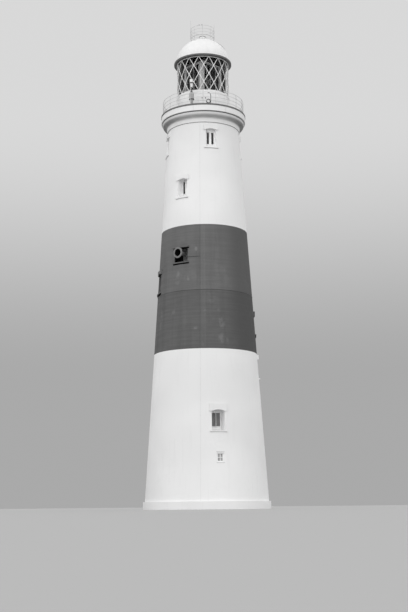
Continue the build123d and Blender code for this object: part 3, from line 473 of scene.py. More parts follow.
def worn_metal_effect():
    """Painted metal: brushed-on gloss with dull spots, thin drips, and a few rust freckles."""
    nodes, given = effect("worn_metal", {
        "Paint": grey(0.8), "Dirt": (0.2, 0.19, 0.18, 1), "Dirt Amount": 0.3, "Roughness": 0.35,
        "Scale": 1.0}, WORKED)
    place = nodes.coordinates()
    freckle = nodes.ramp(nodes.noise(place, nodes.times(given["Scale"], 38.0), 6.0, 0.7), 0.62, 0.74)
    area = nodes.ramp(nodes.noise(place, nodes.times(given["Scale"], 3.0)), 0.5, 0.66)
    drip = nodes.noise(place, 1.0, 4.0, stretch=(30.0, 30.0, 1.4))
    drip = nodes.times(nodes.ramp(drip, 0.56, 0.74), 0.5)
    dirt = nodes.maths("MAXIMUM", nodes.times(freckle, area), drip)
    dirt = nodes.times(dirt, given["Dirt Amount"])
    brush = nodes.noise(place, 2.0, 3.0, stretch=(9.0, 9.0, 60.0))
    tone = nodes.ramp(nodes.noise(place, 1.7, 3.0), 0.3, 0.7, 0.95, 1.03)
    rough = nodes.plus(given["Roughness"], nodes.times(dirt, 0.4))
    return put_out(
        nodes, Color=nodes.tinted(nodes.blend(dirt, given["Paint"], given["Dirt"]), tone),
        Roughness=nodes.plus(rough, nodes.ramp(brush, 0.3, 0.7, -0.04, 0.06)),
        Height=nodes.maths("SUBTRACT", brush, dirt))


def laid_stone_effect():
    """Stone and paving: mottled grains over a slow change of tone."""
    nodes, given = effect("laid_stone", {
        "Stone": grey(0.4), "Fleck": grey(0.25), "Scale": 1.0, "Roughness": 0.8}, WORKED)
    place = nodes.coordinates()
    fleck = nodes.ramp(nodes.noise(place, nodes.times(given["Scale"], 60.0), 6.0, 0.7), 0.46, 0.64)
    tone = nodes.noise(place, nodes.times(given["Scale"], 2.0), 5.0)
    mask = nodes.times(fleck, nodes.ramp(tone, 0.3, 0.65, 0.35, 0.9))
    return put_out(
        nodes, Color=nodes.blend(mask, given["Stone"], given["Fleck"]),
        Roughness=nodes.plus(given["Roughness"], nodes.times(tone, 0.1)),
        Height=nodes.plus(nodes.times(fleck, 0.3), tone))


# Bearings of the paler strip beside the conductor and of the side of the band that is darkened with
# painted shade
STRIP_FROM = -5.2
STRIP_TO = 0.6
STRIP_TONE = 0.18
SHADE_SIDE_FROM = 16.0
SHADE_SIDE_FULL = 46.0
SHADE_SIDE_FADES = 110.0
SHADE_SIDE_ENDS = 160.0
SHADE_SIDE_TONE = 0.72
# Clouds of thin paint as (bearing, level, half width in degrees, half height, tone)
CLOUDS = [(18.9, 7.16, 4.6, 0.34, 0.62), (18.3, 6.50, 5.5, 0.30, 0.66), (24.0, 6.42, 3.0, 0.16, 0.4),
          (16.0, 7.62, 3.0, 0.14, 0.4), (-34.3, 9.08, 3.2, 0.20, 0.7), (-23.0, 8.92, 5.0, 0.16, 0.45),
          (-20.4, 8.86, 2.2, 0.10, 0.7), (-10.7, 10.08, 2.2, 0.12, 0.85), (-35.0, 8.76, 5.0, 0.10, 0.5),
          (-39.0, 7.60, 3.0, 0.12, 0.5), (-0.5, 7.52, 2.6, 0.16, 0.7), (-11.0, 6.90, 6.0, 0.07, 0.6),
          (6.5, 7.95, 6.0, 0.10, 0.35), (22.0, 9.2, 5.0, 0.3, 0.2), (-3.0, 6.28, 3.0, 0.12, 0.6),
          (-62.0, 7.4, 6.0, 0.5, 0.35), (60.0, 8.9, 7.0, 0.4, 0.35), (110.0, 7.0, 8.0, 0.5, 0.5),
          (140.0, 9.6, 6.0, 0.4, 0.45), (178.0, 7.9, 7.0, 0.3, 0.5), (-120.0, 8.8, 8.0, 0.4, 0.5),
          (-150.0, 6.9, 5.0, 0.3, 0.55)]


def band_wear_effect():
    """Marks on the dark band: a paler strip beside the conductor, clouds of thin paint, dark streaks,
    and painted shade on one side.

    Each cloud fades with the square of the distance on the wall from its bearing and level.
    """
    nodes, _ = effect("band_wear", {}, ("Pale", "Dark"))
    place = nodes.coordinates()
    parts = nodes.split(place)
    bearing = nodes.maths("ARCTAN2", parts["X"], nodes.times(parts["Y"], -1.0))
    bearing = nodes.times(bearing, 180 / np.pi)
    broken = nodes.ramp(nodes.noise(place, 5.0, 6.0, 0.7), 0.36, 0.62)
    fleck = nodes.ramp(nodes.noise(place, 16.0, 4.0, 0.7), 0.42, 0.62)
    pale = nodes.times(nodes.within(bearing, STRIP_FROM, STRIP_TO, 0.5), STRIP_TONE)
    for centre, level, wide, tall, tone in CLOUDS:
        across = nodes.maths("DIVIDE", nodes.maths("SUBTRACT", bearing, centre), wide)
        up = nodes.maths("DIVIDE", nodes.maths("SUBTRACT", parts["Z"], level), tall)
        away = nodes.plus(nodes.times(across, across), nodes.times(up, up))
        cloud = nodes.times(nodes.ramp(away, 1.0, 0.05, 0.0, tone), broken)
        pale = nodes.maths("MAXIMUM", pale, cloud)
    dark = nodes.ramp(nodes.noise(place, 1.0, 2.0, stretch=(3.2, 3.2, 0.02)), 0.42, 0.66, 0.0, 0.24)
    # Painted shade on the side of higher bearings: it deepens from the first bearing to the full one,
    # holds, and fades out towards the back
    shaded_side = nodes.times(nodes.ramp(bearing, SHADE_SIDE_FROM, SHADE_SIDE_FULL, 0.0, SHADE_SIDE_TONE),
                       nodes.ramp(bearing, SHADE_SIDE_ENDS, SHADE_SIDE_FADES))
    return put_out(nodes, Pale=nodes.times(pale, nodes.ramp(fleck, 0.0, 1.0, 0.7, 1.0)),
                   Dark=nodes.maths("MAXIMUM", dark, shaded_side))


def underside_shade_effect():
    """Painted shade under the heads of openings, which follows the downward part of the normal, and a
    second mask for the sides of openings, which are painted lighter as painted light.
    """
    nodes, _ = effect("underside_shade", {}, ("Mask", "Sides"))
    place = nodes.coordinates()
    normal = nodes.add("ShaderNodeNewGeometry").outputs["Normal"]
    facing_out = nodes.add("ShaderNodeVectorMath", {0: normal, 1: nodes.outward(place)},
                           operation="DOT_PRODUCT").outputs["Value"]
    blotch = nodes.ramp(nodes.noise(place, 3.0, 5.0, 0.6), 0.3, 0.7, 0.50, 0.62)
    return put_out(nodes, Sides=nodes.ramp(nodes.maths("ABSOLUTE", facing_out), 0.85, 0.6),
                   Mask=nodes.times(nodes.ramp(nodes.split(normal)["Z"], -0.42, -0.98), blotch))


OVOLO_LEVEL = FASCIA_LEVEL - 0.143


def cornice_shade_effect():
    """Painted shade in the hollow of the cornice, heavier on its two flanks."""
    nodes, _ = effect("cornice_shade", {}, ("Mask", "Sides"))
    place = nodes.coordinates()
    level = nodes.split(place)["Z"]
    across = nodes.split(nodes.outward(place))["X"]
    flank = nodes.ramp(nodes.maths("ABSOLUTE", across), 0.45, 1.0, 0.56, 0.88)
    hollow = nodes.times(nodes.ramp(level, HOLLOW_LEVEL + 0.01, HOLLOW_LEVEL + 0.09),
                         nodes.ramp(level, OVOLO_LEVEL + 0.05, OVOLO_LEVEL - 0.01, 0.36, 1.0))
    blotch = nodes.ramp(nodes.noise(place, 3.0, 5.0, 0.6), 0.3, 0.7, 0.92, 1.0)
    below = nodes.maths("LESS_THAN", level, FASCIA_LEVEL + 0.01)
    return put_out(nodes, Mask=nodes.times(hollow, flank, blotch, below))


WEATHERED_PAINT = weathered_paint_effect()
BAND_WEAR = band_wear_effect()
UNDERSIDE_SHADE = underside_shade_effect()
CORNICE_SHADE = cornice_shade_effect()
WORN_METAL = worn_metal_effect()
LAID_STONE = laid_stone_effect()


# Finishes

def new_material(name):
    material = bpy.data.materials.new(name)
    material.use_nodes = True
    return material, Nodes(material.node_tree)


def finish(name, effect_group, values, bump, depth, coat=0.0, gloss=0.5):
    """Material whose colour, roughness and bump come from one of the shared effects."""
    material, nodes = new_material(name)
    worked = nodes.group(effect_group, values)
    relief = nodes.add("ShaderNodeBump", {"Height": worked["Height"], "Strength": bump,
                                          "Distance": depth}).outputs["Normal"]
    for key, value in {"Base Color": worked["Color"], "Roughness": worked["Roughness"],
                       "Normal": relief, "Coat Weight": coat, "Specular IOR Level": gloss}.items():
        nodes.feed(nodes.shader()[key], value)
    return material


def metal(name, paint, dirt, amount, roughness, scale, bump, depth, coat=0.0, gloss=0.5):
    """Painted metal or wood; paint and dirt are grey tones."""
    values = {"Paint": grey(paint), "Dirt": grey(dirt), "Dirt Amount": amount,
              "Roughness": roughness, "Scale": scale}
    return finish(name, WORN_METAL, values, bump, depth, coat, gloss)


def masonry(name, bump, depth, gloss=0.5, **tones):
    """Paint on render; a tone is the grey of the paint, its patches or its stains."""
    values = {key.title().replace("_", " "): tone for key, tone in tones.items()}
    for key in {"Paint", "Patch", "Stain"} & set(values):
        values[key] = grey(values[key])
    return finish(name, WEATHERED_PAINT, values, bump, depth, gloss=gloss)


def stone(name, tone, fleck, scale, roughness, bump, depth):
    values = {"Stone": grey(tone), "Fleck": grey(fleck), "Scale": scale, "Roughness": roughness}
    return finish(name, LAID_STONE, values, bump, depth)


def on_the_band(material, paint, pale, dark, everywhere=False):
    """Lay the band's paint and its marks over a finish, between the band's two edges."""
    nodes = Nodes(material.node_tree)
    below = nodes.shader()["Base Color"].links[0].from_socket
    marks = nodes.group(BAND_WEAR)
    worked = nodes.group(WEATHERED_PAINT, {
        "Paint": grey(paint), "Patch": grey(pale), "Stain": grey(dark), "Patch Amount": 0.3,
        "Streak Amount": 0.3, "Patch Size": 0.7, "Lift Amount": 0.24, "Roughness": 0.6})
    colour = nodes.blend(marks["Pale"], worked["Color"], grey(pale * 1.25))
    # Dark streaks in the paint and the painted shade on one side of the band
    colour = nodes.blend(marks["Dark"], colour, grey(dark))
    if not everywhere:
        level = nodes.split(nodes.coordinates())["Z"]
        inside = nodes.times(nodes.maths("GREATER_THAN", level, BAND_FOOT),
                             nodes.maths("LESS_THAN", level, BAND_HEAD))
        colour = nodes.blend(inside, below, colour)
    nodes.feed(nodes.shader()["Base Color"], colour)
    return material


def paint_shade_over(material, effect_group, tone, sides=None):
    """Darken a finish with painted shade where an effect's mask lies; the sides of openings may be
    painted lighter, as painted light.
    """
    nodes = Nodes(material.node_tree)
    colour = nodes.shader()["Base Color"].links[0].from_socket
    mask = nodes.group(effect_group)
    if sides:
        colour = nodes.blend(mask["Sides"], colour, grey(sides))
    nodes.feed(nodes.shader()["Base Color"], nodes.blend(mask["Mask"], colour, grey(tone)))
    return material


def glass(name, tone, roughness, bump, index=1.45):
    """Clear glass with a slight waviness."""
    material, nodes = new_material(name)
    wave = nodes.noise(nodes.coordinates(), 2.5, 2.0)
    relief = nodes.add("ShaderNodeBump", {"Height": wave, "Strength": bump, "Distance": 0.01})
    for key, value in {"Base Color": grey(tone), "Roughness": roughness, "IOR": index,
                       "Transmission Weight": 1.0, "Normal": relief.outputs["Normal"]}.items():
        nodes.feed(nodes.shader()[key], value)
    return material


WALL_TONES = {"paint": 0.80, "patch": 0.765, "stain": 0.56, "patch_amount": 0.5,
              "streak_amount": 0.16, "patch_size": 1.4, "roughness": 0.7}
# White walls carry painted shade under the heads of openings and painted light on their sides; the
# cornice carries painted shade in its hollow.
WHITE_WALL = paint_shade_over(masonry("white_masonry_paint", 0.22, 0.004, 0.25, **WALL_TONES),
                    UNDERSIDE_SHADE, 0.50, 0.93)
CORNICE_PAINT = paint_shade_over(masonry("cornice_paint", 0.22, 0.004, 0.25, **WALL_TONES),
                       CORNICE_SHADE, 0.16)
DARK_UPPER = on_the_band(masonry("dark_masonry_paint_upper", 0.25, 0.004, 0.15, roughness=0.8),
                         0.138, 0.195, 0.09, everywhere=True)
DARK_LOWER = on_the_band(masonry("dark_masonry_paint_lower", 0.25, 0.004, 0.15, roughness=0.8),
                         0.112, 0.17, 0.072, everywhere=True)
DRESSING_PAINT = on_the_band(
    masonry("sill_and_head_paint", 0.15, 0.003, paint=0.80, patch=0.74, stain=0.42,
            patch_amount=0.5, streak_amount=0.3, patch_size=0.4, roughness=0.5), 0.125, 0.19, 0.085)
TAPE_LIGHT = masonry("tape_light", 0.1, 0.001, paint=0.68, patch=0.6, stain=0.5, roughness=0.5)
TAPE_DARK = masonry("tape_dark", 0.1, 0.001, paint=0.085, patch=0.11, stain=0.06, roughness=0.5)

# Name, paint, dirt, share of dirt, roughness, scale of the wear, bump and its depth
JOINERY = metal("joinery_paint", 0.90, 0.5, 0.2, 0.32, 1.5, 0.1, 0.001, coat=0.1)
WHITE_METAL = metal("white_metal_paint", 0.84, 0.34, 0.3, 0.34, 0.8, 0.08, 0.002, coat=0.1)
RAIL_PAINT = metal("rail_paint", 0.60, 0.26, 0.4, 0.38, 2.0, 0.08, 0.001)
DOME_PAINT = metal("dome_paint", 0.82, 0.5, 0.3, 0.4, 0.6, 0.1, 0.003, coat=0.08)
DARK_METAL = metal("dark_metal_paint", 0.06, 0.14, 0.4, 0.5, 1.0, 0.08, 0.002)
EAVES_PAINT = metal("eaves_paint", 0.105, 0.16, 0.4, 0.5, 1.0, 0.08, 0.002)
# Near-black paint for the dome's inner face: painted shade.
DOME_SHADE_PAINT = metal("dome_inner_shade", 0.02, 0.05, 0.3, 0.8, 1.0, 0.05, 0.002)
GREY_METAL = metal("grey_metal_paint", 0.42, 0.2, 0.4, 0.42, 2.0, 0.08, 0.001)
HORN_PAINT = metal("horn_paint", 0.19, 0.10, 0.4, 0.5, 2.0, 0.08, 0.001)
PANEL_PAINT = metal("horn_panel_paint", 0.27, 0.12, 0.5, 0.5, 1.5, 0.1, 0.001)
# Near-black paint for painted shadow: the horn's bore, its recess, and the lines by the band windows.
PAINTED_SHADOW_BLACK = metal("painted_shadow_black", 0.006, 0.01, 0.3, 0.9, 1.0, 0.05, 0.001, gloss=0.1)
DOOR_PAINT = metal("door_paint", 0.09, 0.2, 0.3, 0.3, 1.5, 0.12, 0.001, coat=0.3)
LENS_METAL = metal("lens_metal", 0.09, 0.05, 0.3, 0.45, 1.0, 0.05, 0.001)
LENS_FRAME = metal("lens_frame_paint", 0.62, 0.3, 0.3, 0.35, 1.0, 0.05, 0.001)
CURTAIN = metal("curtain", 0.035, 0.02, 0.4, 0.9, 1.0, 0.1, 0.001, gloss=0.1)
LAMP_LENS = metal("lamp_lens", 0.86, 0.6, 0.2, 0.16, 2.0, 0.03, 0.001, coat=0.5)
# Opaque pane tones; the dark one is painted shade of the unlit stair behind the glass.
DARK_PANE = metal("dark_pane", 0.030, 0.06, 0.2, 0.14, 1.0, 0.02, 0.001)
GREY_PANE = metal("grey_pane", 0.20, 0.24, 0.2, 0.18, 1.0, 0.02, 0.001)
PALE_PANE = metal("pale_pane", 0.40, 0.26, 0.3, 0.22, 1.0, 0.02, 0.001)
LENS_GLASS = finish("lens_prisms", WORN_METAL,
                    {"Paint": (0.014, 0.015, 0.015, 1), "Dirt": grey(0.04), "Dirt Amount": 0.15,
                     "Roughness": 0.42, "Scale": 0.5}, 0.02, 0.001, gloss=0.2)
DECK = stone("deck_asphalt", 0.15, 0.09, 1.2, 0.8, 0.3, 0.002)
PAVING = stone("floor_paving", 0.42, 0.3, 1.0, 0.75, 0.2, 0.002)
STEP_STONE = stone("step_stone", 0.5, 0.33, 0.8, 0.78, 0.35, 0.004)
LANTERN_GLASS = glass("lantern_pane", 0.97, 0.0, 0.02, index=1.18)
WINDOW_GLASS = glass("window_pane", 0.55, 0.02, 0.05)

SLOT_FINISHES = {
    "painted_masonry_white": WHITE_WALL, "painted_masonry_dark": DARK_UPPER, "deck_asphalt": DECK,
    "floor_stone": PAVING, "step_stone": STEP_STONE, "joinery_white": JOINERY,
    "door_dark": DOOR_PAINT, "sill_paint": DRESSING_PAINT, "window_glass": WINDOW_GLASS,
    "horn_paint": HORN_PAINT, "horn_panel_paint": PANEL_PAINT, "rail_paint": RAIL_PAINT,
    "lamp_metal": GREY_METAL, "lamp_lens": LAMP_LENS, "davit_metal": DARK_METAL,
    "floodlight_metal": DARK_METAL, "lantern_white": WHITE_METAL, "lattice_paint": WHITE_METAL,
    "lantern_glass": LANTERN_GLASS, "eaves_dark": EAVES_PAINT, "dome_white": DOME_PAINT,
    "lens_metal": LENS_METAL, "lens_frame_white": LENS_FRAME, "lens_glass": LENS_GLASS}
NODE_FINISHES = {"band_lower_wall": DARK_LOWER, "neck_course": CORNICE_PAINT,
                 "cavetto_course": CORNICE_PAINT, "gallery_fascia": CORNICE_PAINT,
                 "window_sills": DRESSING_PAINT, "window_heads": DRESSING_PAINT}
slot_of = {part["node"]: part["material_slot"] for part in frame["record"]["subparts"]}
for node, shape in frame["nodes"].items():
    shape.data.materials.clear()
    shape.data.materials.append(NODE_FINISHES.get(node, SLOT_FINISHES[slot_of[node]]))


# Lantern

BAYS = 16
BAY_PITCH = 360 / BAYS
LATTICE_BEARING = 13.5
LATTICE_WIDTH = 0.025
LATTICE_DEPTH = 0.018
LATTICE_ROWS = 4
BOSS_RADIUS = 0.027
BOSS_RISE = 0.008
BOSS_SINK = 0.001
LATTICE_RIM = bar(0.022, 0.03, 0.004)
LATTICE_RIM_INSET = 0.015


def lantern_lattice():
    """Helical bars: the bearing moves by two bays either way as the level climbs the glass."""
    share = np.linspace(0, 1, 25)
    radius = GLASS_RADIUS + LATTICE_DEPTH / 2
    glazing = GLAZING_TOP - GLAZING_LEVEL
    section = bar(LATTICE_WIDTH, LATTICE_DEPTH, 0.004)
    bars = []
    for bay in range(BAYS):
        for way in (-1, 1):
            bearing = LATTICE_BEARING + BAY_PITCH * (bay + way * share * LATTICE_ROWS / 2)
            bars.append(swept(on_circle(radius, bearing, GLAZING_LEVEL + glazing * share), section,
                              on_circle(1.0, bearing, 0.0)))
    for row in range(1, LATTICE_ROWS):
        level = GLAZING_LEVEL + glazing / LATTICE_ROWS * row
        bars += [stud(button(BOSS_RADIUS, BOSS_RISE), 12,
                      LATTICE_BEARING + BAY_PITCH * (bay + row / 2),
                      radius + LATTICE_DEPTH / 2 - BOSS_SINK, level) for bay in range(BAYS)]
    bars += [hoop(radius, level, LATTICE_RIM)
             for level in (GLAZING_LEVEL + LATTICE_RIM_INSET, GLAZING_TOP - LATTICE_RIM_INSET)]
    piece("lantern_bars", bars, WHITE_METAL, "lattice_paint", "lantern_lattice")


VENT_TOP = high("dome_ventilator")[2]
VENT_HEIGHT = 0.16
DOME_RISE = VENT_TOP - VENT_HEIGHT - DOME_LEVEL
DOME_WALL = 0.024
VENT_NECK = 0.118
DOME_SEAMS = 16
SEAM_STOP = 0.05
SEAM = bar(0.018, 0.012, 0.003)
DOME_BAND = bar(0.016, 0.05, 0.004)


def dome_profile(inset, count, top_radius=VENT_NECK):
    """Quarter ellipse, an inset inside the skin, from the eaves up to the ventilator's neck."""
    radius, rise = DOME_RADIUS - inset, DOME_RISE - inset
    angle = np.linspace(0, np.arccos(top_radius / radius), count)
    return np.stack([radius * np.cos(angle), DOME_LEVEL + rise * np.sin(angle)], -1)


def dome_shell(outer, inner, count, around):
    """Closed shell of the dome between two insets."""
    profile = np.concatenate([dome_profile(outer, count), dome_profile(inner, count)[::-1]])
    return quads(turned(profile, around), wrap_rows=True, wrap_columns=True)


def dome_skin():
    """Outer dome from the gutter to the ventilator, with raised seams and a band at its foot."""
    surfaces = [dome_shell(0.0, DOME_WALL / 2, 40, 128)]
    radius, level = dome_profile(0.0, 28, VENT_NECK + SEAM_STOP).T
    for seam in range(DOME_SEAMS):
        bearing = 360 / DOME_SEAMS * (seam + 0.5)
        normal = on_circle(radius / DOME_RADIUS ** 2, bearing, (level - DOME_LEVEL) / DOME_RISE ** 2)
        surfaces.append(swept(on_circle(radius, bearing, level), SEAM, normal))
    surfaces.append(hoop(DOME_RADIUS + 0.002, DOME_LEVEL + 0.025, DOME_BAND))
    piece("dome_skin", surfaces, DOME_PAINT, "dome_white", "dome")


def dome_inner_shade():
    """Inner face of the dome, painted near-black as painted shade."""
    lining = dome_shell(DOME_WALL * 0.6, DOME_WALL, 24, 96)
    piece("dome_inner_shade", [lining], DOME_SHADE_PAINT, "eaves_dark")


CAP_ROUND = 0.05
CAP_GUARD = 0.006
GUARD_WIRE = 0.010


def ventilator():
    """Neck with a flange, a shadow gap and a rounded cap, and a dark wire guard on top."""
    crown = DOME_LEVEL + DOME_RISE
    cap_radius = radius_of("dome_ventilator")
    flange, gap = VENT_NECK + 0.03, VENT_NECK - 0.02
    angle = np.linspace(0, np.pi / 2, 8)
    shoulder = np.stack([cap_radius - CAP_ROUND + CAP_ROUND * np.cos(angle),
                         VENT_TOP - CAP_ROUND + CAP_ROUND * np.sin(angle) * 0.9], -1)
    profile = np.concatenate([
        [(0, crown - 0.02), (flange, crown - 0.02), (flange, crown + 0.008),
         (VENT_NECK, crown + 0.014), (VENT_NECK, crown + 0.052), (gap, crown + 0.054),
         (gap, crown + 0.066), (cap_radius - 0.006, crown + 0.066), (cap_radius, crown + 0.072)],
        shoulder, [(0.03, VENT_TOP - 0.002), (0.026, VENT_TOP), (0, VENT_TOP)]])
    guard = hoop(cap_radius - CAP_GUARD, VENT_TOP + CAP_GUARD, circle(GUARD_WIRE), 64)
    piece("ventilator_guard", [guard], DARK_METAL, "davit_metal")
    piece("ventilator", [lathe(profile, 64)], DOME_PAINT, "dome_white", "dome_ventilator")


POST_TAPER = np.array([1.25, 1.0, 0.95, 0.9])
BALL_SHARE = 1.75


def round_rail(radius, levels, foot, posts, tube, post_radius):
    """Level tubes bent to circles on upright tubes, with a ball where they cross."""
    surfaces = [hoop(radius, level, circle(tube), 120) for level in levels]
    for bearing in even_bearings(posts):
        surfaces.append(strut(circle(post_radius), bearing, radius, foot, levels[0],
                              scale=POST_TAPER))
        surfaces += [pillar(ball(post_radius * BALL_SHARE), 10, bearing, radius, level)
                     for level in levels]
    return surfaces


RAIL_TUBE = 0.0075
GALLERY_POST_RADIUS = 0.010
GALLERY_POST_INSET = 0.011
GALLERY_POSTS = 20
GALLERY_BARS = 4
POST_FOOT = [(0, 0), (0.036, 0), (0.036, 0.008), (0.018, 0.014), (0.014, 0.03), (0, 0.03)]


def gallery_railing():
    """Posts on round feet along the edge of the deck, with level rails through them."""
    bottom, top = low("gallery_railing")[2], high("gallery_railing")[2]
    radius = high("gallery_railing")[0] - GALLERY_POST_INSET
    spacing = (top - bottom) / GALLERY_BARS
    levels = [top - RAIL_TUBE * BALL_SHARE - spacing * number for number in range(GALLERY_BARS)]
    surfaces = round_rail(radius, levels, bottom, GALLERY_POSTS, RAIL_TUBE, GALLERY_POST_RADIUS)
    surfaces += [pillar(POST_FOOT, 12, bearing, radius, bottom)
                 for bearing in even_bearings(GALLERY_POSTS)]
    piece("gallery_rails", surfaces, RAIL_PAINT, "rail_paint", "gallery_railing")


CROWN_POSTS = 8
CROWN_BARS = 4
CROWN_SPACING = 0.142
CROWN_TUBE = 0.0065
KICK_RAIL_TUBE = 0.009
CROWN_POST_RADIUS = 0.008
CROWN_INSET = 0.007
CROWN_TOP_INSET = 0.010
CROWN_CLIP = button(0.022, 0.03)
CROWN_CLIP_BEARINGS = (-16.0, -2.0)
CROWN_PAD = [(0, -0.02), (0.03, -0.02), (0.03, 0.006), (0.012, 0.02), (0, 0.02)]


def crown_rail():
    """Light guard rail round the crown of the dome, with a greyer lowest bar and two clips."""
    radius = high("crown_guard_rail")[0] - CROWN_INSET
    top = high("crown_guard_rail")[2] - CROWN_TOP_INSET
    levels = [top - CROWN_SPACING * number for number in range(CROWN_BARS)]
    lowest_bar = hoop(radius, levels[-1], circle(KICK_RAIL_TUBE), 120)
    piece("crown_kick_rail", [lowest_bar], GREY_METAL, "davit_metal")
    clips = [pillar(CROWN_CLIP, 10, bearing, radius, top) for bearing in CROWN_CLIP_BEARINGS]
    piece("crown_clips", clips, DARK_METAL, "davit_metal")
    foot = DOME_LEVEL + DOME_RISE * np.sqrt(1 - (radius / DOME_RADIUS) ** 2)
    surfaces = round_rail(radius, levels, foot, CROWN_POSTS, CROWN_TUBE, CROWN_POST_RADIUS)
    surfaces += [pillar(CROWN_PAD, 10, bearing, radius, foot)
                 for bearing in even_bearings(CROWN_POSTS)]
    piece("crown_rails", surfaces, RAIL_PAINT, "rail_paint", "crown_guard_rail")


AERIAL_ROD = 0.010
AERIAL_TAPER = np.array([1.0, 0.9, 0.75, 0.6])
RIGHT_AERIAL_SHORTER = 0.19
AERIAL_CLAMPS = (0.06, 0.34)
CLAMP_PROFILE = [(0, 0), (0.016, 0.002), (0.018, 0.02), (0.016, 0.038), (0, 0.04)]


def aerials():
    """Tapering rods in clamps on the crown rail."""
    foot, top = low("crown_aerials")[2], high("crown_aerials")[2]
    radius = high("crown_aerials")[0] - CROWN_INSET
    surfaces = []
    for bearing, tip in ((-90, top), (90, top - RIGHT_AERIAL_SHORTER)):
        surfaces.append(strut(circle(AERIAL_ROD), bearing, radius, foot, tip, scale=AERIAL_TAPER))
        surfaces += [pillar(CLAMP_PROFILE, 12, bearing, radius, foot + rise)
                     for rise in AERIAL_CLAMPS]
    piece("aerial_rods", surfaces, RAIL_PAINT, "rail_paint", "crown_aerials")


HANDRAIL_BEARING = 82
HANDRAIL_STANDOFF = 0.053
HANDRAIL_FROM = 34.5
HANDRAIL_TO = 75.5
HANDRAIL_TUBE = 0.0085
STAY_TUBE = 0.006
STAY_SINK = 0.004
STAYS = [1, 5, 10, 15, 20, 24]


def dome_handrail():
    """Tube that follows the dome at an even stand-off, on short stays."""
    angle = np.radians(np.linspace(HANDRAIL_FROM, HANDRAIL_TO, 26))

    def over_dome(standoff):
        return on_circle((DOME_RADIUS + standoff) * np.cos(angle), HANDRAIL_BEARING,
                         DOME_LEVEL + (DOME_RISE + standoff) * np.sin(angle))

    side = turn_of(HANDRAIL_BEARING)[0]
    path, feet = over_dome(HANDRAIL_STANDOFF), over_dome(-STAY_SINK)
    surfaces = [swept(path, circle(HANDRAIL_TUBE), side)]
    surfaces += [swept(straight(feet[stay], path[stay]), circle(STAY_TUBE), side) for stay in STAYS]
    piece("dome_rail", surfaces, GREY_METAL, "rail_paint", "dome_handrail")


EAVES_BEAD = 0.008


def eaves_trim():
    """Bead along the lip of the gutter."""
    lip = hoop(EAVES_RADIUS - EAVES_BEAD, DOME_LEVEL - EAVES_BEAD, circle(EAVES_BEAD), 128)
    piece("eaves_bead", [lip], WHITE_METAL, "lantern_white")


COVER_STRIP = bar(0.05, 0.008, 0.002)
STRIP_BOLT = button(0.008, 0.006)
BOLT_ROWS = 7
BOLT_ACROSS = 0.016
MURETTE_ANGLE = bar(0.06, 0.012, 0.003)


def murette_trim():
    """Cover strips over the plate joints with rows of bolt heads, and an angle at foot and head."""
    surfaces = []
    bolt_levels = np.linspace(GALLERY_LEVEL + 0.08, CILL_LEVEL - 0.06, BOLT_ROWS)
    for bay in range(BAYS):
        bearing = BAY_PITCH * (bay + 0.5)
        surfaces.append(strut(COVER_STRIP, bearing, MURETTE_RADIUS + 0.003, GALLERY_LEVEL,
                              CILL_LEVEL))
        surfaces += [stud(STRIP_BOLT, 6, bearing, MURETTE_RADIUS + 0.007, level, across)
                     for level in bolt_levels for across in (-BOLT_ACROSS, BOLT_ACROSS)]
    surfaces += [hoop(MURETTE_RADIUS + 0.005, level, MURETTE_ANGLE)
                 for level in (GALLERY_LEVEL + 0.03, CILL_LEVEL - 0.02)]
    piece("murette_strips", surfaces, WHITE_METAL, "lantern_white")


VENT_LEVEL = 16.60
VENT_BEARINGS = (-2.0, 5.0)
VENT_PROFILE = [(0, -0.01), (0.014, -0.01), (0.014, 0.010), (0.019, 0.012), (0.020, 0.018),
                (0.016, 0.024), (0.006, 0.027), (0, 0.027)]


def murette_vents():
    """Round mushroom ventilators through the murette."""
    surfaces = [stud(VENT_PROFILE, 20, offset + quarter, MURETTE_RADIUS, VENT_LEVEL)
                for quarter in even_bearings(4) for offset in VENT_BEARINGS]
    piece("murette_vents", surfaces, DARK_METAL, "davit_metal")


MURETTE_DOOR_BEARING = 193
HINGE_INSET = 0.12
HINGE_LEAF = (0.10, 0.035, 0.012, 0.003)
HINGE_LEAF_ACROSS = -0.10
HINGE_PIN = circle(0.009, 10)
HINGE_PIN_HALF = 0.03
HINGE_PIN_ACROSS = -0.16
DOOR_BORDER = [(0.02, -0.004), (0.02, 0.006), (0.034, 0.006), (0.034, -0.004)]
DOOR_BORDER_WIDTH = 0.25
HANDLE_ACROSS = 0.11
DOOR_HANDLE = [(0, 0), (0.022, 0), (0.022, 0.02), (0.01, 0.026), (0, 0.026)]


def murette_door_fittings():
    """Hinges, a turning handle and a raised border on the gallery door."""
    middle, height = middle_and_height("murette_door")
    surfaces = []
    for side in (-1, 1):
        level = middle + side * (height / 2 - HINGE_INSET)
        surfaces.append(block(HINGE_LEAF, MURETTE_DOOR_BEARING, MURETTE_RADIUS - 0.002, level,
                              HINGE_LEAF_ACROSS))
        surfaces.append(strut(HINGE_PIN, MURETTE_DOOR_BEARING, MURETTE_RADIUS - 0.008,
                              level - HINGE_PIN_HALF, level + HINGE_PIN_HALF, HINGE_PIN_ACROSS,
                              side=(1, 0, 0)))
    surfaces.append(stud(DOOR_HANDLE, 16, MURETTE_DOOR_BEARING, MURETTE_RADIUS - 0.012, middle,
                         HANDLE_ACROSS))
    surfaces.append(mitred_frame(DOOR_BORDER_WIDTH, height - 0.04, DOOR_BORDER,
                                 MURETTE_DOOR_BEARING, MURETTE_RADIUS - 0.006, middle))
    piece("murette_door_fittings", surfaces, WHITE_METAL, "lantern_white")


# Lens

LENS_MIDDLE, LENS_HEIGHT = middle_and_height("lens_panels")
LENS_DISTANCE = high("lens_panels")[0] / np.sqrt(2)
PANEL_BEARINGS = [45, 135, 225, 315]
PANEL_HALF_WIDTH = 0.4515
PANEL_BACK = 0.052
PANEL_BACK_THICKNESS = 0.02
PRISM_SINK = 0.035
PRISM_PITCH = 0.042
PRISM_RELIEF = 0.010
BULLSEYE_RADIUS = 0.14
BULLSEYE_RELIEF = 0.03


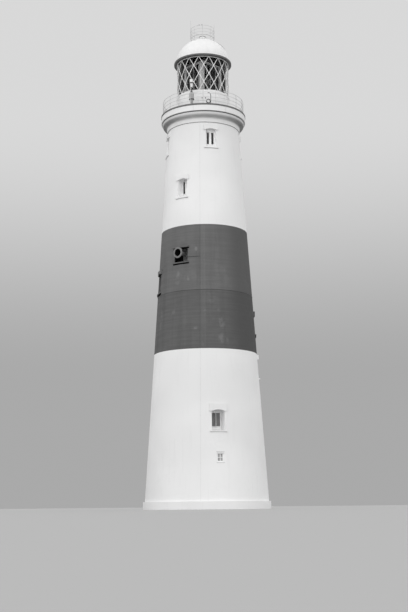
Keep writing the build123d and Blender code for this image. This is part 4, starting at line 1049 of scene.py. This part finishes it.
def lens_prisms():
    """Four panels of ring prisms: relief is a saw-tooth of the distance from the panel's centre."""
    x, y = np.meshgrid(np.linspace(-PANEL_HALF_WIDTH, PANEL_HALF_WIDTH, 96),
                       np.linspace(-LENS_HEIGHT / 2, LENS_HEIGHT / 2, 150), indexing="ij")
    from_centre = np.hypot(x, y)
    ring = np.mod(from_centre - BULLSEYE_RADIUS, PRISM_PITCH) / PRISM_PITCH
    relief = np.where(from_centre < BULLSEYE_RADIUS,
                      BULLSEYE_RELIEF * (1 - (from_centre / BULLSEYE_RADIUS) ** 2),
                      PRISM_RELIEF * (1 - ring))
    front = np.stack([x, y, relief - PRISM_SINK], -1)
    back = (2 * PANEL_HALF_WIDTH, LENS_HEIGHT, PANEL_BACK_THICKNESS, 0.002)
    surfaces = []
    for bearing in PANEL_BEARINGS:
        surfaces.append(quads(facing(front, bearing, LENS_DISTANCE, LENS_MIDDLE)))
        surfaces.append(block(back, bearing, LENS_DISTANCE - PANEL_BACK, LENS_MIDDLE))
    piece("lens_prisms", surfaces, LENS_GLASS, "lens_glass", "lens_panels", smooth_angle=25)


PLATED_BEARINGS = (135, 315)
# Upright plates on the lens as (name, width, depth, chamfer, distance, place across, finish)
LENS_PLATES = [("lens_plates", 0.150, 0.014, 0.003, 0.012, 0.375, GREY_METAL),
               ("lens_pale_plates", 0.085, 0.022, 0.003, 0.015, 0.392, WHITE_METAL),
               ("lens_edge_strips", 0.030, 0.020, 0.004, 0.014, 0.285, LENS_FRAME)]


def lens_plates():
    """Upright cover plates at the end of two opposite panels, with a pale edge strip."""
    for name, width, depth, corner, forward, across, material in LENS_PLATES:
        plates = [block((width, LENS_HEIGHT, depth, corner), bearing, LENS_DISTANCE + forward,
                        LENS_MIDDLE, across) for bearing in PLATED_BEARINGS]
        piece(name, plates, material, "lens_frame_white")


RIB = bar(0.012, 0.014, 0.002)
RIB_PLACES = (-0.26, -0.05, 0.26)
RIB_SINK = 0.012
BULLSEYE_RING = circle(0.006, 6)
BULLSEYE_RING_SINK = 0.014


def lens_ribs():
    """Thin upright bars that divide each panel, and the ring round its bull's-eye."""
    turn = np.linspace(0, 2 * np.pi, 48, endpoint=False)
    ring = np.stack([BULLSEYE_RADIUS * np.cos(turn), BULLSEYE_RADIUS * np.sin(turn),
                     np.zeros(48)], -1)
    surfaces = []
    for bearing in PANEL_BEARINGS:
        surfaces += [strut(RIB, bearing, LENS_DISTANCE - RIB_SINK, LENS_MIDDLE - LENS_HEIGHT / 2,
                           LENS_MIDDLE + LENS_HEIGHT / 2, across) for across in RIB_PLACES]
        path = facing(ring, bearing, LENS_DISTANCE - BULLSEYE_RING_SINK, LENS_MIDDLE)
        surfaces.append(swept(path, BULLSEYE_RING, turn_of(bearing)[1], closed=True))
    piece("lens_ribs", surfaces, LENS_FRAME, "lens_frame_white")


CURTAIN_FROM = 112
CURTAIN_TO = 268
CURTAIN_RADIUS = GLASS_RADIUS - 0.022
CURTAIN_FOLDS = 30
CURTAIN_FOLD_DEPTH = 0.010
CURTAIN_RAIL = circle(0.010)


def lantern_curtain():
    """Dark curtain hung inside the glass on the far side: its folds are a sine of the bearing."""
    bearing = np.linspace(CURTAIN_FROM, CURTAIN_TO, 281)[:, None]
    level = np.linspace(GLAZING_LEVEL - 0.02, GLAZING_TOP + 0.02, 9)[None, :]
    radius = CURTAIN_RADIUS + CURTAIN_FOLD_DEPTH * np.sin(np.radians(bearing * CURTAIN_FOLDS))
    front = on_circle(radius - 0.012, bearing, level)
    back = on_circle(radius - 0.008, bearing, level)
    cloth = quads(np.concatenate([front, back[:, ::-1]], 1), wrap_columns=True)
    rail = swept(on_circle(CURTAIN_RADIUS, bearing[:, 0], GLAZING_TOP - 0.01), CURTAIN_RAIL,
                 on_circle(1.0, bearing[:, 0], 0.0))
    piece("lantern_curtain", [cloth, rail], CURTAIN, "lens_metal")


# Gallery lamp, davit and floodlight

LAMP_PLACE = (-17.5, 1.550)
LAMP_SCREWS = 8
SCREW_PROFILE = [(0, 0), (0.007, 0), (0.007, 0.006), (0, 0.008)]
LAMP_HOOP = [(0.095, 0.247), (0.107, 0.247), (0.107, 0.267), (0.095, 0.267)]
LAMP_CONE = [(0, 0.570), (0.046, 0.570), (0.04, 0.60), (0.024, 0.70), (0.018, 0.705),
             (0.018, 0.786), (0, 0.786)]


def gallery_lamp():
    """Pedestal with a strap, a drum, a bell-shaped collar and a long neck."""
    base = low("gallery_lamp_pedestal")[2]
    angle = np.linspace(0, np.pi / 2, 7)
    bell = [(0.045 + 0.043 * np.cos(a), 0.516 + 0.056 * np.sin(a)) for a in angle]
    profile = ([(0, 0), (0.085, 0), (0.085, 0.012), (0.066, 0.02), (0.06, 0.05), (0.06, 0.225),
                (0.07, 0.24), (0.094, 0.246), (0.097, 0.25), (0.097, 0.50), (0.101, 0.504),
                (0.101, 0.514), (0.088, 0.516)] + bell + [(0, 0.572)])
    surfaces = [pillar(profile, 40, *LAMP_PLACE, base)]
    surfaces += [pillar(SCREW_PROFILE, 6, *LAMP_PLACE, base, shift)
                 for shift in evenly_round(LAMP_SCREWS, 0.076, 0.012)]
    dark = [pillar(LAMP_HOOP, 40, *LAMP_PLACE, base), pillar(LAMP_CONE, 24, *LAMP_PLACE, base)]
    piece("lamp_cone", dark, DARK_METAL, "davit_metal")
    piece("lamp_pedestal", surfaces, GREY_METAL, "lamp_metal", "gallery_lamp_pedestal")


GLASS_RIBS = 8
RIB_DEPTH = 0.0035
LAMP_RING = [(0.058, 0.166), (0.092, 0.168), (0.094, 0.178), (0.092, 0.188), (0.058, 0.190)]


def ribbed_drum(radius, bottom, top):
    """Outline of ribbed glass: each rib is half a wave of the sine."""
    bulge = RIB_DEPTH * np.abs(np.sin(np.linspace(0, GLASS_RIBS * np.pi, 33)))
    return np.stack([radius - 0.004 + bulge, np.linspace(bottom, top, 33)], -1)


def gallery_lamp_head():
    """Two drums of ribbed glass, one over the other, with a flat ring between them."""
    base = low("gallery_lamp_head")[2]
    profile = np.concatenate([
        [(0, 0), (0.05, 0), (0.055, 0.004)], ribbed_drum(0.056, 0.012, 0.162),
        [(0.06, 0.168), (0.06, 0.188), (0.074, 0.190)], ribbed_drum(0.076, 0.194, 0.318),
        [(0.07, 0.330), (0.045, 0.340), (0.012, 0.344), (0, 0.344)]])
    piece("lamp_ring", [pillar(LAMP_RING, 40, *LAMP_PLACE, base)], DARK_METAL, "davit_metal")
    piece("lamp_head", [pillar(profile, 40, *LAMP_PLACE, base)], LAMP_LENS, "lamp_lens",
          "gallery_lamp_head")


DAVIT_PLACE = (12, 1.500)
DAVIT_TUBE = 0.012
CROOK_RADIUS = 0.100
CROOK_TURN = 0.58 * np.pi
DAVIT_FOOT = [(0, 0), (0.05, 0), (0.05, 0.01), (0.018, 0.016), (0.016, 0.05), (0, 0.05)]


def davit():
    """Upright tube that bends over to one side in part of a circle, with a foot plate."""
    base, top = low("gallery_davit")[2], high("gallery_davit")[2]
    bend = top - CROOK_RADIUS - DAVIT_TUBE
    stem = np.stack([np.zeros(8), np.linspace(base, bend, 8), np.zeros(8)], -1)
    angle = np.linspace(0, CROOK_TURN, 14)[1:]
    crook = np.stack([-CROOK_RADIUS + CROOK_RADIUS * np.cos(angle),
                      bend + CROOK_RADIUS * np.sin(angle), np.zeros(13)], -1)
    path = facing(np.concatenate([stem, crook]), *DAVIT_PLACE, 0.0)
    surfaces = [swept(path, circle(DAVIT_TUBE, 12), turn_of(DAVIT_PLACE[0])[1]),
                pillar(DAVIT_FOOT, 20, *DAVIT_PLACE, base)]
    piece("davit", surfaces, DARK_METAL, "davit_metal", "gallery_davit")


FLOODLIGHT_ACROSS = -0.1043
FLOODLIGHT_LEVEL = GALLERY_LEVEL + 0.172
FINS = 4
FIN_PITCH = 0.013
CLAMP = (0.03, 0.03, 0.034, 0.004)


def floodlight():
    """Round housing with cooling rings behind a thick rim, and its pale bowed glass."""
    fins = []
    for start in -0.034 + FIN_PITCH * np.arange(FINS):
        fins += [(0.062, start), (0.08, start + 0.002), (0.08, start + 0.006), (0.062, start + 0.008)]
    profile = ([(0, -0.04), (0.055, -0.04), (0.06, -0.036)] + fins
               + [(0.084, 0.02), (0.092, 0.022), (0.092, 0.038), (0.088, 0.040), (0.064, 0.040),
                  (0.062, 0.028), (0, 0.028)])
    body = stud(profile, 40, *DAVIT_PLACE, FLOODLIGHT_LEVEL, FLOODLIGHT_ACROSS)
    clamp = block(CLAMP, *DAVIT_PLACE, FLOODLIGHT_LEVEL, -0.006)
    piece("floodlight", [body, clamp], DARK_METAL, "floodlight_metal", "gallery_floodlight")
    angle = np.linspace(0, np.pi / 2, 8)
    bow = [(0.063 * np.sin(a), 0.029 + 0.009 * np.cos(a)) for a in angle]
    front = stud(bow + [(0.063, 0.027), (0, 0.027)], 40, *DAVIT_PLACE, FLOODLIGHT_LEVEL,
                 FLOODLIGHT_ACROSS)
    piece("floodlight_lens", [front], LAMP_LENS, "lamp_lens")


# Masonry trim

FASCIA_LIP = 0.048
STRING_BAR = bar(0.016, 0.014, 0.004)
GROOVE_SHADE_LINE = bar(0.026, 0.030, 0.004)
NECK_SHADE_LINE = bar(0.010, 0.012, 0.003)


def course_lines():
    """Drip line between the band's two stages, and dark lines under the fascia and the neck: painted
    shade in the fascia's groove and under the neck course, with dirt.
    """
    string = hoop(wall_radius(STRING_LEVEL) + 0.001, STRING_LEVEL, STRING_BAR, 160)
    piece("band_string", [string], DARK_METAL, "painted_masonry_dark")
    shade_lines = [hoop(FASCIA_RADIUS - FASCIA_LIP - 0.016, FASCIA_LEVEL - 0.017, GROOVE_SHADE_LINE, 160),
             hoop(NECK_FACE_RADIUS + 0.004, NECK_LEVEL - 0.006, NECK_SHADE_LINE, 160)]
    piece("cornice_lines", shade_lines, DARK_METAL, "davit_metal")


CONDUCTOR_BEARING = -5.55
CONDUCTOR_TAPE = bar(0.010, 0.005, 0.001)
CONDUCTOR_STANDOFF = 0.002
SADDLE = (0.028, 0.018, 0.010, 0.003)
SADDLE_SPACING = 0.6
CONDUCTOR_SPANS = [
    ("conductor_low", PLINTH_TOP, BAND_FOOT, TAPE_LIGHT, "painted_masonry_white"),
    ("conductor_band", BAND_FOOT, BAND_HEAD, TAPE_DARK, "painted_masonry_dark"),
    ("conductor_high", BAND_HEAD, NECK_LEVEL - 0.03, TAPE_LIGHT, "painted_masonry_white")]


def conductor():
    """Thin tape down the tower in small saddles, painted with the wall: one piece in each colour."""
    for name, bottom, top, material, slot in CONDUCTOR_SPANS:
        levels = np.linspace(bottom, top, 16)
        path = on_circle(wall_radius(levels) + CONDUCTOR_STANDOFF, CONDUCTOR_BEARING, levels)
        surfaces = [swept(path, CONDUCTOR_TAPE, turn_of(CONDUCTOR_BEARING)[1])]
        surfaces += [block(SADDLE, CONDUCTOR_BEARING, wall_radius(level) + CONDUCTOR_STANDOFF, level)
                     for level in np.arange(bottom + 0.2, top - 0.05, SADDLE_SPACING)]
        piece(name, surfaces, material, slot)


# Foot and head are the distances from the opening's sill and top to its glazed light
Window = namedtuple("Window", "bearing sill height reveal foot head mouth frame mullion")
SERVICE_WINDOWS = [Window(bearing, 14.320, 0.835, 0.200, 0.225, 0.118, 0.436, 0.370, 0.090)
                   for bearing in (11.8, 101.8, 193, -78.2)]
UPPER_WINDOWS = [Window(bearing, 12.262, 0.820, 0.290, 0.250, 0.060, 0.436, 0.370, 0.090)
                 for bearing in (-32, 193)]
BAND_WINDOWS = [Window(bearing, sill, 0.830, 0.400, 0.225, 0.095, 0.436, 0.370, 0.090)
                for bearing, sill in ((-76, 8.530), (193, 8.530), (97, 6.885))]
LOW_WINDOWS = [Window(97, 5.095, 0.875, 0.470, 0.232, 0.096, 0.520, 0.410, 0.028),
               Window(12, 2.886, 0.840, 0.460, 0.232, 0.096, 0.520, 0.410, 0.028)]
FRAME_STILE = 0.042
GLAZING_BEAD = [(0, -0.001), (0, 0.008), (0.009, 0.004), (0.009, -0.001)]
BEAD_WIDTH = 0.009
CATCH = (0.012, 0.06, 0.012, 0.003)
WEATHER_BAR_DROP = 0.03
SMALL_BEARING = 13
SMALL_BOTTOM = 1.754
SMALL_TOP = 2.090


def light_of(window):
    """A window's glazed light: its bottom, its top and the distance of its frame's face."""
    face = shaft_radius(window.sill + window.height / 2) - window.reveal
    return window.sill + window.foot, window.sill + window.height - window.head, face


def window_trim():
    """Glazing beads round every light, a weather bar under it, a catch and plain mullion covers."""
    surfaces, covers = [], []
    for window in SERVICE_WINDOWS + UPPER_WINDOWS + BAND_WINDOWS + LOW_WINDOWS:
        bearing, mullion = window.bearing, window.mullion
        bottom, top, face = light_of(window)
        middle, height = (bottom + top) / 2, top - bottom
        width = (window.frame - 2 * FRAME_STILE - mullion) / 2
        surfaces += [mitred_frame(width + 2 * BEAD_WIDTH, height + 2 * BEAD_WIDTH, GLAZING_BEAD,
                                  bearing, face, middle, side * (width + mullion) / 2)
                     for side in (-1, 1)]
        weather_bar = (window.frame - 0.05, 0.022, 0.020, 0.005)
        surfaces.append(block(weather_bar, bearing, face + 0.009, bottom - WEATHER_BAR_DROP))
        surfaces.append(block(CATCH, bearing, face + 0.005, middle))
        if window in LOW_WINDOWS:
            covers.append(block((mullion + 0.006, height, 0.026, 0.002), bearing, face, middle))
    piece("mullion_covers", covers, GREY_METAL, "lamp_metal")
    piece("window_trim", surfaces, JOINERY, "joinery_white")


PANE_SETBACK = 0.051
PANE_OVERLAP = 0.012


def stair_panes():
    """Opaque panes of the stair windows: dark above, greyer below, pale in the small low window; the
    dark ones are painted shade of the unlit stair behind the glass.
    """
    def panes(windows):
        made = []
        for window in windows:
            bottom, top, face = light_of(window)
            size = (window.frame - 0.06, top - bottom + 2 * PANE_OVERLAP, 0.010, 0.001)
            made.append(block(size, window.bearing, face - PANE_SETBACK, (bottom + top) / 2))
        return made

    small = (0.216, SMALL_TOP - SMALL_BOTTOM - 0.048, 0.010, 0.001)
    pale = block(small, SMALL_BEARING, shaft_radius(SMALL_TOP) - 0.046 - PANE_SETBACK,
                 (SMALL_TOP + SMALL_BOTTOM) / 2)
    piece("stair_panes", panes(UPPER_WINDOWS + BAND_WINDOWS), DARK_PANE, "window_glass",
          "stair_window_glass")
    piece("low_panes", panes(LOW_WINDOWS), GREY_PANE, "window_glass")
    piece("small_pane", [pale], PALE_PANE, "window_glass")


LINE_OVERHANG = 0.06
BAND_SHADOW = bar(0.070, 0.044, 0.003)
LINE_DEPTH = 0.016
SMALL_LINE = bar(0.012, 0.012, 0.003)
SMALL_LINE_HALF = 0.16


def sill_shadow_lines():
    """Painted shadow lines on the wall under every sill: black and thicker in the band, where the heads
    have them too, grey elsewhere and over and under the small window.
    """
    black = []
    for window in BAND_WINDOWS:
        for level in (window.sill - 0.045, window.sill + window.height - 0.03):
            black.append(arc_bar(wall_radius(level) + 0.014, window.bearing,
                                 window.mouth / 2 + LINE_OVERHANG, level, BAND_SHADOW))
    piece("band_window_shadows", black, PAINTED_SHADOW_BLACK, "eaves_dark")
    lines = []
    for window in SERVICE_WINDOWS + UPPER_WINDOWS + LOW_WINDOWS:
        height = 0.024 if window in UPPER_WINDOWS else 0.016
        lines.append(arc_bar(wall_radius(window.sill) + 0.004, window.bearing,
                             window.mouth / 2 + LINE_OVERHANG, window.sill - 0.008,
                             bar(height, LINE_DEPTH, 0.003)))
    for level in (SMALL_BOTTOM - 0.035, SMALL_TOP + 0.040):
        lines.append(arc_bar(wall_radius(level) + 0.003, SMALL_BEARING, SMALL_LINE_HALF, level,
                             SMALL_LINE))
    piece("sill_shadow_lines", lines, GREY_METAL, "lamp_metal")


DOOR_BEARING = 193
DOOR_FRONT = 1.9634
DOOR_BOTTOM = 0.300
DOOR_TOP = 1.3797
BOARD_WIDTH = 0.086
BOARD_PITCH = 0.09
STRAP = (0.34, 0.04, 0.010, 0.003)
STRAP_ACROSS = -0.05
RING_ACROSS = 0.16
RING_PLATE = [(0, 0), (0.026, 0), (0.026, 0.008), (0.012, 0.014), (0.012, 0.03), (0, 0.034)]


def entrance_door_trim():
    """Boards, strap hinges and a ring handle on the entrance door."""
    middle, height = (DOOR_TOP + DOOR_BOTTOM) / 2, DOOR_TOP - DOOR_BOTTOM
    boards = [block((BOARD_WIDTH, height - 0.012, 0.016, 0.004), DOOR_BEARING, DOOR_FRONT + 0.006,
                    middle, BOARD_PITCH * number) for number in (-2, -1, 0, 1, 2)]
    piece("door_boards", boards, DOOR_PAINT, "door_dark")
    fittings = [block(STRAP, DOOR_BEARING, DOOR_FRONT + 0.018, level, STRAP_ACROSS)
                for level in (DOOR_BOTTOM + 0.16, DOOR_TOP - 0.18)]
    fittings.append(stud(RING_PLATE, 16, DOOR_BEARING, DOOR_FRONT + 0.014, middle, RING_ACROSS))
    piece("door_metal", fittings, DARK_METAL, "davit_metal")


# Fog horn

HORN_BEARING = -31
HORN_LEVEL = 10.000
HORN_BACK = 1.4844
HORN_MOUTH = 0.490
HORN_SWING = 7.0
HORN_DROP = 0.03
THROAT_RADIUS = 0.084
THROAT_LENGTH = 0.19
FLARE_RADIUS = 0.3315
FLARE_LENGTH = 0.264
HORN_BOLTS = 12
HORN_BOLT = button(0.010, 0.007)
HORN_BOLT_CIRCLE = 0.184
HORN_BORE = [(0.1475, 0.482), (0.1475, 0.44), (0.0695, 0.192), (0, 0.192), (0, 0.196),
             (0.066, 0.196), (0.1435, 0.44), (0.1435, 0.482)]


def horn_shape(profile, around, shift=0.0):
    """Round shape on the horn's own axis, which is swung towards lower bearings and dropped."""
    swing = np.radians(HORN_SWING)
    across, up, out = np.moveaxis(turned(profile, around) + shift, -1, 0)
    points = np.stack([across * np.cos(swing) - out * np.sin(swing), up - HORN_DROP,
                       across * np.sin(swing) + out * np.cos(swing)], -1)
    return quads(facing(points, HORN_BEARING, HORN_BACK, HORN_LEVEL), wrap_rows=True)


def fog_horn():
    """Straight throat, a flare that is part of a circle, and a rolled rim with bolts."""
    turn = np.linspace(0, np.arcsin(FLARE_LENGTH / FLARE_RADIUS), 12)
    flare = np.stack([THROAT_RADIUS + FLARE_RADIUS * (1 - np.cos(turn)),
                      THROAT_LENGTH + FLARE_RADIUS * np.sin(turn)], -1)
    profile = np.concatenate([
        [(0, 0), (THROAT_RADIUS, 0)], flare,
        [(0.2195, 0.460), (0.2195, 0.482), (0.213, HORN_MOUTH), (0.154, HORN_MOUTH),
         (0.148, 0.484), (0.148, 0.44), (0.070, THROAT_LENGTH), (0, THROAT_LENGTH)]])
    surfaces = [horn_shape(profile, 64)]
    surfaces += [horn_shape(HORN_BOLT, 8, shift)
                 for shift in evenly_round(HORN_BOLTS, HORN_BOLT_CIRCLE, HORN_MOUTH - 0.001)]
    # The bore is painted near-black as painted shade.
    piece("horn_bore_shade", [horn_shape(HORN_BORE, 48)], PAINTED_SHADOW_BLACK, "eaves_dark")
    piece("horn", surfaces, HORN_PAINT, "horn_paint", "fog_horn")


RECESS_WIDTH = 0.600
RECESS_BOTTOM = 9.600
RECESS_TOP = 10.180
RECESS_STRIP = bar(0.050, 0.024, 0.003)
SLAT = (0.185, 0.030, 0.030, 0.004)
SLAT_ACROSS = 0.03
SLAT_SPACING = 0.048


def horn_recess():
    """Slats beside the throat, and painted shadow in black: a board behind it, a board down its left
    side, and strips under hood and sill.
    """
    middle, height = (RECESS_TOP + RECESS_BOTTOM) / 2, RECESS_TOP - RECESS_BOTTOM - 0.012
    black = [block((RECESS_WIDTH - 0.012, height, 0.008, 0.001), HORN_BEARING, HORN_BACK + 0.040,
                   middle),
             block((0.008, height, 0.25, 0.001), HORN_BEARING, HORN_BACK + 0.165, middle,
                   0.006 - RECESS_WIDTH / 2)]
    black += [arc_bar(wall_radius(level) + 0.004, HORN_BEARING, RECESS_WIDTH / 2 + 0.058, level,
                      RECESS_STRIP)
              for level in (RECESS_BOTTOM - 0.070, RECESS_TOP - 0.014)]
    piece("horn_shadow_board", black, PAINTED_SHADOW_BLACK, "eaves_dark")
    slats = [block(SLAT, HORN_BEARING, HORN_BACK + 0.056, level, SLAT_ACROSS)
             for level in np.arange(RECESS_BOTTOM + 0.03, RECESS_TOP - 0.02, SLAT_SPACING)]
    piece("horn_louvres", slats, PANEL_PAINT, "horn_panel_paint")


JOINT = bar(0.007, 0.006, 0.002)
JOINT_BEARING = 31.6
JOINTS = 8
JOINT_INSET = 0.012


def fascia_joints():
    """Thin dark joints between the casts of the fascia."""
    joints = [strut(JOINT, JOINT_BEARING + turn, FASCIA_RADIUS - 0.001,
                    FASCIA_LEVEL + JOINT_INSET, FASCIA_TOP - JOINT_INSET)
              for turn in even_bearings(JOINTS)]
    piece("fascia_joints", joints, GREY_METAL, "lamp_metal")


CONDUIT_LEVEL = 9.78
CONDUIT_FROM = -21.6
CONDUIT_PIPE = circle(0.007)
CLIP = (0.018, 0.030, 0.020, 0.003)
CLIP_BEARINGS = (-19.0, -14.5, -10.0)


def horn_conduit():
    """Thin pipe round the wall from the recess to the conductor, in clips."""
    radius = wall_radius(CONDUIT_LEVEL) + 0.008
    bearing = np.linspace(CONDUIT_FROM, CONDUCTOR_BEARING, 14)
    surfaces = [swept(on_circle(radius, bearing, CONDUIT_LEVEL), CONDUIT_PIPE,
                      on_circle(1.0, bearing, 0.0))]
    surfaces += [block(CLIP, place, radius - 0.002, CONDUIT_LEVEL) for place in CLIP_BEARINGS]
    piece("horn_conduit", surfaces, DARK_METAL, "davit_metal")


for make in (lantern_lattice, dome_skin, dome_inner_shade, ventilator, gallery_railing, crown_rail,
             aerials, dome_handrail, eaves_trim, murette_trim, murette_vents,
             murette_door_fittings, lens_prisms, lens_plates, lens_ribs, lantern_curtain,
             gallery_lamp, gallery_lamp_head, davit, floodlight, course_lines, conductor,
             window_trim, stair_panes, sill_shadow_lines, entrance_door_trim, fog_horn, horn_recess,
             fascia_joints, horn_conduit):
    make()


# Floor, light and camera

FLOOR_HALF = 400.0
FLOOR_TONE = 0.42
FLOOR_ROUGHNESS = 0.9


def floor():
    """Wide pale floor under the tower."""
    share = np.linspace(-FLOOR_HALF, FLOOR_HALF, 9)
    x, y = np.meshgrid(share, share, indexing="ij")
    points, faces = quads(np.stack([x, y, np.zeros_like(x)], -1))
    mesh = bpy.data.meshes.new("floor")
    mesh.from_pydata(points.tolist(), [], faces.tolist())
    material, nodes = new_material("floor_pale")
    nodes.feed(nodes.shader()["Base Color"], grey(FLOOR_TONE))
    nodes.feed(nodes.shader()["Roughness"], FLOOR_ROUGHNESS)
    mesh.materials.append(material)
    made = put_in_scene("floor", mesh)


AMBIENT_LOW = 0.68
AMBIENT_HIGH = 0.96
BACKDROP_LOW = 0.40
BACKDROP_HIGH = 0.69
BACKDROP_FROM = 0.11
BACKDROP_TO = 0.35


def sky():
    """Soft light, stronger from above; the camera, gloss and glass see a plain pale backdrop."""
    world = bpy.data.worlds.new("studio")
    bpy.context.scene.world = world
    world.use_nodes = True
    nodes = Nodes(world.node_tree)
    direction = nodes.add("ShaderNodeTexCoord").outputs["Generated"]
    rise = nodes.split(direction)["Z"]
    light = nodes.ramp(rise, 0.0, 1.0, AMBIENT_LOW, AMBIENT_HIGH)
    shown = nodes.ramp(rise, BACKDROP_FROM, BACKDROP_TO, BACKDROP_LOW, BACKDROP_HIGH)
    rays = nodes.add("ShaderNodeLightPath").outputs
    seen = nodes.maths("MAXIMUM", rays["Is Camera Ray"], rays["Is Glossy Ray"])
    seen = nodes.maths("MAXIMUM", seen, rays["Is Transmission Ray"])
    strength = nodes.plus(nodes.times(shown, seen),
                          nodes.times(light, nodes.maths("SUBTRACT", 1.0, seen)))
    background = world.node_tree.nodes["Background"].inputs
    nodes.feed(background["Color"], grey(1.0))
    nodes.feed(background["Strength"], strength)


def broad_light(name, bearing, elevation, softness, strength, through_glass):
    """Far light from a wide patch of the sky: the same on the whole height of the tower."""
    data = bpy.data.lights.new(name, "SUN")
    data.angle = np.radians(softness)
    data.energy = strength
    made = put_in_scene(name, data)
    made.visible_glossy = False
    made.visible_transmission = through_glass
    turn, tilt = np.radians(bearing), np.radians(elevation)
    way = Vector((np.sin(turn) * np.cos(tilt), -np.cos(turn) * np.cos(tilt), np.sin(tilt)))
    made.rotation_euler = way.to_track_quat("Z", "Y").to_euler()


CAMERA_DISTANCE = 43.45
CAMERA_HEIGHT = 0.10
CAMERA_OFFSET = -0.044
CAMERA_PITCH = 10.457
CAMERA_ROLL = -0.555
CAMERA_REACH = 2000
FOCAL_PIXELS = 1087.7
FRAME_HEIGHT = 612
SENSOR = 36.0


def camera():
    """The photograph's viewpoint: right, up and back vectors from the pitch and the roll."""
    pitch, roll = np.radians(CAMERA_PITCH), np.radians(CAMERA_ROLL)
    level_up = np.array([0, -np.sin(pitch), np.cos(pitch)])
    level_right = np.array([1.0, 0, 0])
    right = level_right * np.cos(roll) + level_up * np.sin(roll)
    up = level_up * np.cos(roll) - level_right * np.sin(roll)
    data = bpy.data.cameras.new("camera")
    data.sensor_width = SENSOR
    data.lens = FOCAL_PIXELS / FRAME_HEIGHT * SENSOR
    data.clip_end = CAMERA_REACH
    made = put_in_scene("camera", data)
    turn = Matrix(np.stack([right, up, np.cross(right, up)], 1).tolist()).to_4x4()
    made.matrix_world = Matrix.Translation((CAMERA_OFFSET, -CAMERA_DISTANCE, CAMERA_HEIGHT)) @ turn
    bpy.context.scene.camera = made


floor()
sky()
broad_light("key", bearing=-11, elevation=10, softness=110, strength=1.86, through_glass=True)
broad_light("back", bearing=150, elevation=35, softness=60, strength=0.50, through_glass=False)
camera()
bpy.context.scene.view_settings.view_transform = "Standard"
